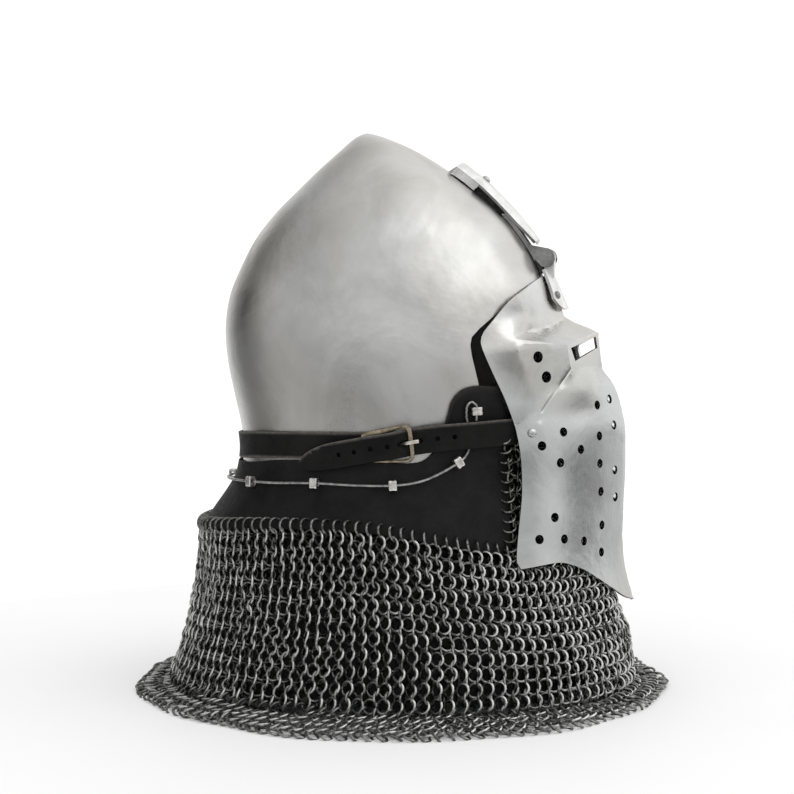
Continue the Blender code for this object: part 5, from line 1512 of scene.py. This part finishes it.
def rings_piece(name, rings, stands_for=None, fine=RING_FINE):
    """One mesh of many rings, each (place, across, rise, radius, wire radius, tone).

    Painted light and shade: the half of a ring that stands outwards is painted brighter than the
    other.
    """
    place, across, rise = (np.array([ring[k][:] for ring in rings]) for k in (0, 1, 2))
    radius, wire, tone = (np.array([ring[k] for ring in rings]) for k in (3, 4, 5))
    axis = np.cross(across, rise)
    steps, sides = fine
    turn = 2 * np.pi * np.arange(steps) / steps
    roll = 2 * np.pi * np.arange(sides) / sides
    spoke = (across[:, None] * np.cos(turn)[None, :, None]
             + rise[:, None] * np.sin(turn)[None, :, None])
    reach = radius[:, None, None] + wire[:, None, None] * np.cos(roll)[None, None, :]
    lift = wire[:, None, None] * np.sin(roll)[None, None, :]
    points = (place[:, None, None] + spoke[:, :, None] * reach[..., None]
              + axis[:, None, None] * lift[..., None]).reshape(-1, 3)
    quads = np.array(grid(steps, sides, ring=True, closed=True))[:, [0, 3, 2, 1]]
    faces = (quads[None] + (np.arange(len(rings)) * steps * sides)[:, None, None]).reshape(-1, 4)
    mesh = bpy.data.meshes.new(name)
    mesh.vertices.add(len(points))
    mesh.vertices.foreach_set("co", points.ravel())
    mesh.loops.add(faces.size)
    mesh.loops.foreach_set("vertex_index", faces.ravel())
    mesh.polygons.add(len(faces))
    mesh.polygons.foreach_set("loop_start", np.arange(0, faces.size, 4))
    mesh.update(calc_edges=True)
    mesh.validate()
    mesh.shade_smooth()
    made = placed(name, mesh)
    mesh.materials.append(mail_metal)
    away = place * (1.0, 1.0, 0.0) / np.linalg.norm(place[:, :2], axis=1)[:, None]
    forward = np.einsum("rsk,rk->rs", spoke, away)
    (middle, added), ends = RING_LIGHT
    # painted light and shade: the outer half of each ring lighter, the inner half darker
    tone = tone[:, None] * np.clip(middle + added * forward, *ends)
    store(made, "tone", np.repeat(tone.ravel(), sides))
    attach(made, "helmet")
    if stands_for:
        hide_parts(stands_for)


def woven(spot, count, row, start=0.0, end=1.0):
    """One row of rings; alternate rows are set half a ring on and lean the other way."""
    made = []
    odd = row % 2
    yaw = math.radians(RING_YAW[odd])
    first = math.ceil(start * count - 0.5 * odd)
    for i in range(first, math.floor(end * count - 0.5 * odd) + 1):
        share = (i + 0.5 * odd) / count
        if end == 1.0 and share >= 1.0:
            continue
        place, level, upward, out = spot(share)
        shift = Vector((dice.uniform(-1, 1), dice.uniform(-1, 1), dice.uniform(-1, 1))) * RING_STRAY
        crowd = 0.16 * math.sin(share * 41 + row * 0.5) + 0.10 * math.sin(share * 97 - row * 0.8)
        turn, tip = (dice.gauss(0, spread) for spread in RING_LOOSE)
        shift += out * RING_STAND[odd]
        made.append((place + shift, *lean(level, upward, out, yaw + crowd + turn, tip),
                     RING * dice.uniform(*RING_SIZES), RING_WIRE, dice.uniform(*RING_TONES_AND_SHADE[odd])))
    return made


def make_mail():
    """Curtain, chin panel and brim, row by row from the foot up and from the rim inwards."""
    heights = [edge_over(mail_place(turn_at(i / GIRTH_STEPS, HANG_Z), HANG_Z))
               for i in range(GIRTH_STEPS + 1)]

    def edge_above(share):
        return float(np.interp((share % 1.0) * GIRTH_STEPS, range(GIRTH_STEPS + 1), heights))

    sides = {"back": [], "front": [], "panel": [], "brim": []}
    for row in range(RING_ROWS):
        def spot(share, row=row):
            top = edge_above(share) - MAIL_GAPS[0]
            return curtain_spot(share, MAIL_FOOT + (top - MAIL_FOOT) * row / (RING_ROWS - 1))
        for ring in woven(spot, RING_COUNT, row):
            sides["front" if ring[0].x > 0 else "back"].append(ring)
    edge = MAIL_PANEL / 360
    for row in range(1, PANEL_ROWS + 1):
        z = MAIL_JOIN + (MAIL_TOP - 0.004 - MAIL_JOIN) * row / PANEL_ROWS
        for ring in woven(lambda share, z=z: curtain_spot(share, z), RING_COUNT,
                          row + RING_ROWS - 1, 0.5 - edge, 0.5 + edge):
            # painted shade: panel rings near the leather's front edge are darkened
            wear_and_shade = np.interp(abs(ring[0].y), PANEL_SHADED, (1.0, 0.1))
            sides["panel"].append(ring[:5] + (ring[5] * wear_and_shade,))
    for row in range(BRIM_ROWS):
        reach = BRIM_RADIUS - BRIM_PITCH * row

        def flat(share, reach=reach, row=row):
            angle = 2 * math.pi * (share - 0.5)
            out = Vector((math.cos(angle), math.sin(angle), 0))
            wander = 0.0016 * (math.sin(7 * angle + 1) + math.sin(13 * angle)) * max(0, 1 - row / 3)
            place = out * (reach + wander) + Vector((0, 0, 0.0026 + 0.0004 * row))
            return place, Vector((-out.y, out.x, 0)), -out, Vector((0, 0, 1))

        for ring in woven(flat, BRIM_COUNT, row):
            foot = mail_place(math.atan2(ring[0].y, ring[0].x), BRIM_Z)
            if ring[0].xy.length > foot.xy.length - BRIM_LAP:
                place, across, rise, radius, wire, tone = ring
                across = (across - Vector((0, 0, across.z * 0.62))).normalized()
                sides["brim"].append((place, across, rise, radius, wire, tone * 0.8))
    make_shade(edge_above)
    rings_piece("mail_curtain_back", sides["back"], "mail_aventail")
    rings_piece("mail_curtain_front", sides["front"])
    rings_piece("mail_chin_panel", sides["panel"])
    rings_piece("mail_brim", sides["brim"])


def make_shade(edge_above):
    """Thin dark walls inside the rings: the unlit depth of the doubled, woven mail."""
    def wall(name, shares, rows, low_and_height, ring):
        outer = []
        for row in range(rows + 1):
            for share in shares:
                low, height = low_and_height(share)
                place, _, _, out = curtain_spot(share, low + height * row / rows)
                outer.append(place - out * SHADE)
        faces = grid(rows + 1, len(shares), ring=ring)
        made = solid(name, *skins(outer, inward(outer, faces, SHADE_WALL), faces), painted_shade_metal)

    def curtain(share):
        low = SHADE_FOOT + SHADE_WAVE * math.sin(share * 63)
        return low, edge_above(share) - MAIL_GAPS[1] - low

    def panel(_):
        return MAIL_JOIN - 0.003, MAIL_TOP - MAIL_JOIN

    edge = MAIL_PANEL / 360
    # painted shade: dark walls behind the curtain and the chin panel
    wall("mail_painted_shade", [i / 180 for i in range(180)], 24, curtain, True)
    wall("chin_painted_shade", [0.5 - edge + 2 * edge * i / 40 for i in range(41)], 10, panel, False)


def make_lacing():
    """Rings that hang the mail from the leather, round its lower and its front edges."""
    rings = []
    upward = Vector((0, 0, 1))
    for side in (1, -1):
        run = 0.0
        places = [band_place(i / 800, band_edges(i / 800)[0], side) for i in range(801)]
        wanted = 0.0 if side == 1 else LACE_PITCH
        for before, here in zip(places, places[1:]):
            run += (here - before).length
            if run < wanted:
                continue
            wanted += LACE_PITCH
            along = (here - before).normalized()
            away = along.cross(upward) * -side
            rise = upward - along * 0.25
            across = away.normalized() + along * 0.55 * side
            middle = here + Vector((0, 0, 0.0022)) - away * 0.0014
            rings.append((middle, across.normalized(), rise.normalized(), *LACE_RING,
                          dice.uniform(*LACE_TONES)))
        z, top = FRONT_LACED
        while z < top:
            here = band_place(1.0, z, side)
            ahead = (here - band_place(0.97, z, side)).normalized()
            out = Vector((-ahead.y, ahead.x, 0)) * -side
            across = (ahead + upward * 0.45).normalized()
            rise = (out * 0.8 + upward * 0.5 - ahead * 0.2).normalized()
            rings.append((here - ahead * 0.0020, across, rise, *FRONT_RING,
                          dice.uniform(*LACE_TONES)))
            z += FRONT_PITCH
    rings_piece("mail_lacing", rings, fine=LACE_FINE)


# ---------------------------------------------------------------- pin and rivets

def make_studs():
    """The hinge's pin, the bracket's rivet, and the rivets of the leaf and the straps."""
    pin = lathe("knuckle_pin", ((PIN_RADIUS, -PIN_HALF), (PIN_RADIUS, PIN_HALF)), HINGE, (0, 1, 0),
                rivet_steel)
    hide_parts("hinge_pin")
    run = Vector(BRACKET_LINE[5]) - Vector(BRACKET_LINE[3])
    normal = Vector((-run.y, 0, run.x)).normalized()
    head = Vector((BRACKET_RIVET[0], 0, BRACKET_RIVET[1]))
    rivet("bracket_stud", head + normal * 0.0003, normal, 1.1, "helmet", "bracket_rivet")
    for side, word in ((-1, "right"), (1, "left")):
        y, z = side * LEAF_RIVET[0], LEAF_RIVET[1]
        stand = leaf_place(y, z, leaf_lift(z) + LEAF_WALL + 0.0003)
        rivet(f"leaf_stud_{word}", stand, stand - leaf_place(y, z, 0.0), 1.0, "face_guard",
              f"leaf_rivet_{word}", knuckle_steel_and_shade)
    for side, word in ((1, "right"), (-1, "left")):
        stand, normal = (Vector((v.x, side * v.y, v.z))
                         for v in (on_visor(*STRAP_RIVET), visor_normal(*STRAP_RIVET)))
        rivet(f"cheek_stud_{word}", stand + normal * 0.0007, normal, 1.1, "face_guard",
              f"visor_rivet_{word}")


# ---------------------------------------------------------------- stage

def make_stage():
    floor = placed("floor", bpy.data.meshes.new("floor"))
    rings, steps = 8, 64
    points = [(x, y, 0.0) for i in range(rings) for x, y in circle(FLOOR * (i + 1) / rings, steps)]
    floor.data.from_pydata(points, [], grid(rings, steps, ring=True) + [tuple(range(steps))])
    floor.data.materials.append(matte_floor())

    world = bpy.data.worlds.new("studio")
    bpy.context.scene.world = world
    world.use_nodes = True
    graph = Nodes(world.node_tree)
    open_sky = graph.tree.nodes["Background"]
    open_sky.inputs["Color"].default_value = (1.0, 1.0, 1.0, 1.0)
    open_sky.inputs["Strength"].default_value = SKY
    tone = ROOM
    for direction, near, far, bright in ROOM_PARTS:
        turn, rise = (math.radians(angle) for angle in direction)
        way = (math.sin(turn) * math.cos(rise), -math.cos(turn) * math.cos(rise), math.sin(rise))
        along = graph.add("VectorMath", {0: graph.add("TexCoord").outputs["Generated"], 1: way},
                          operation="DOT_PRODUCT").outputs["Value"]
        start, end = math.cos(math.radians(far)), math.cos(math.radians(near))
        tone = graph.sum(tone, graph.spread(along, start, end, 0.0, bright, "SMOOTHSTEP"))
    room = graph.add("Background", {"Color": tone, "Strength": 1.0})
    glossy = graph.add("LightPath").outputs["Is Glossy Ray"]
    choice = graph.add("MixShader", {0: glossy, 1: open_sky.outputs[0], 2: room.outputs[0]})
    graph.put(graph.tree.nodes["World Output"].inputs["Surface"], choice.outputs[0])
    world.cycles.sampling_method = "NONE"
    bpy.context.scene.view_settings.view_transform = "Standard"

    place, target, size, bright = KEY
    lamp = placed("key_box", bpy.data.lights.new("key_box", "AREA"))
    lamp.data.shape = "RECTANGLE"
    lamp.data.size = lamp.data.size_y = size
    lamp.data.energy = bright * math.pi * size * size
    lamp.location = place
    lamp.rotation_euler = (Vector(target) - Vector(place)).to_track_quat("-Z", "Y").to_euler()

    camera = placed("camera", bpy.data.cameras.new("camera"))
    camera.data.sensor_width, camera.data.lens = CAMERA_SENSOR, CAMERA_LENS
    turn, pitch = math.radians(CAMERA_TURN), math.radians(CAMERA_PITCH)
    camera.location = (CAMERA_AWAY * math.sin(turn) + CAMERA_SHIFT, -CAMERA_AWAY * math.cos(turn),
                       CAMERA_HEIGHT)
    level = math.cos(pitch)
    aim = Vector((-math.sin(turn) * level, math.cos(turn) * level, -math.sin(pitch)))
    camera.rotation_euler = aim.to_track_quat("-Z", "Y").to_euler()
    bpy.context.scene.camera = camera


# ---------------------------------------------------------------- assembly

make_skull()
make_visor()
make_bracket()
make_strip()
make_leaf()
make_leather()
make_lugs()
make_wire()
make_strap()
make_billet()
make_buckle()
make_mail()
make_lacing()
make_studs()
make_stage()
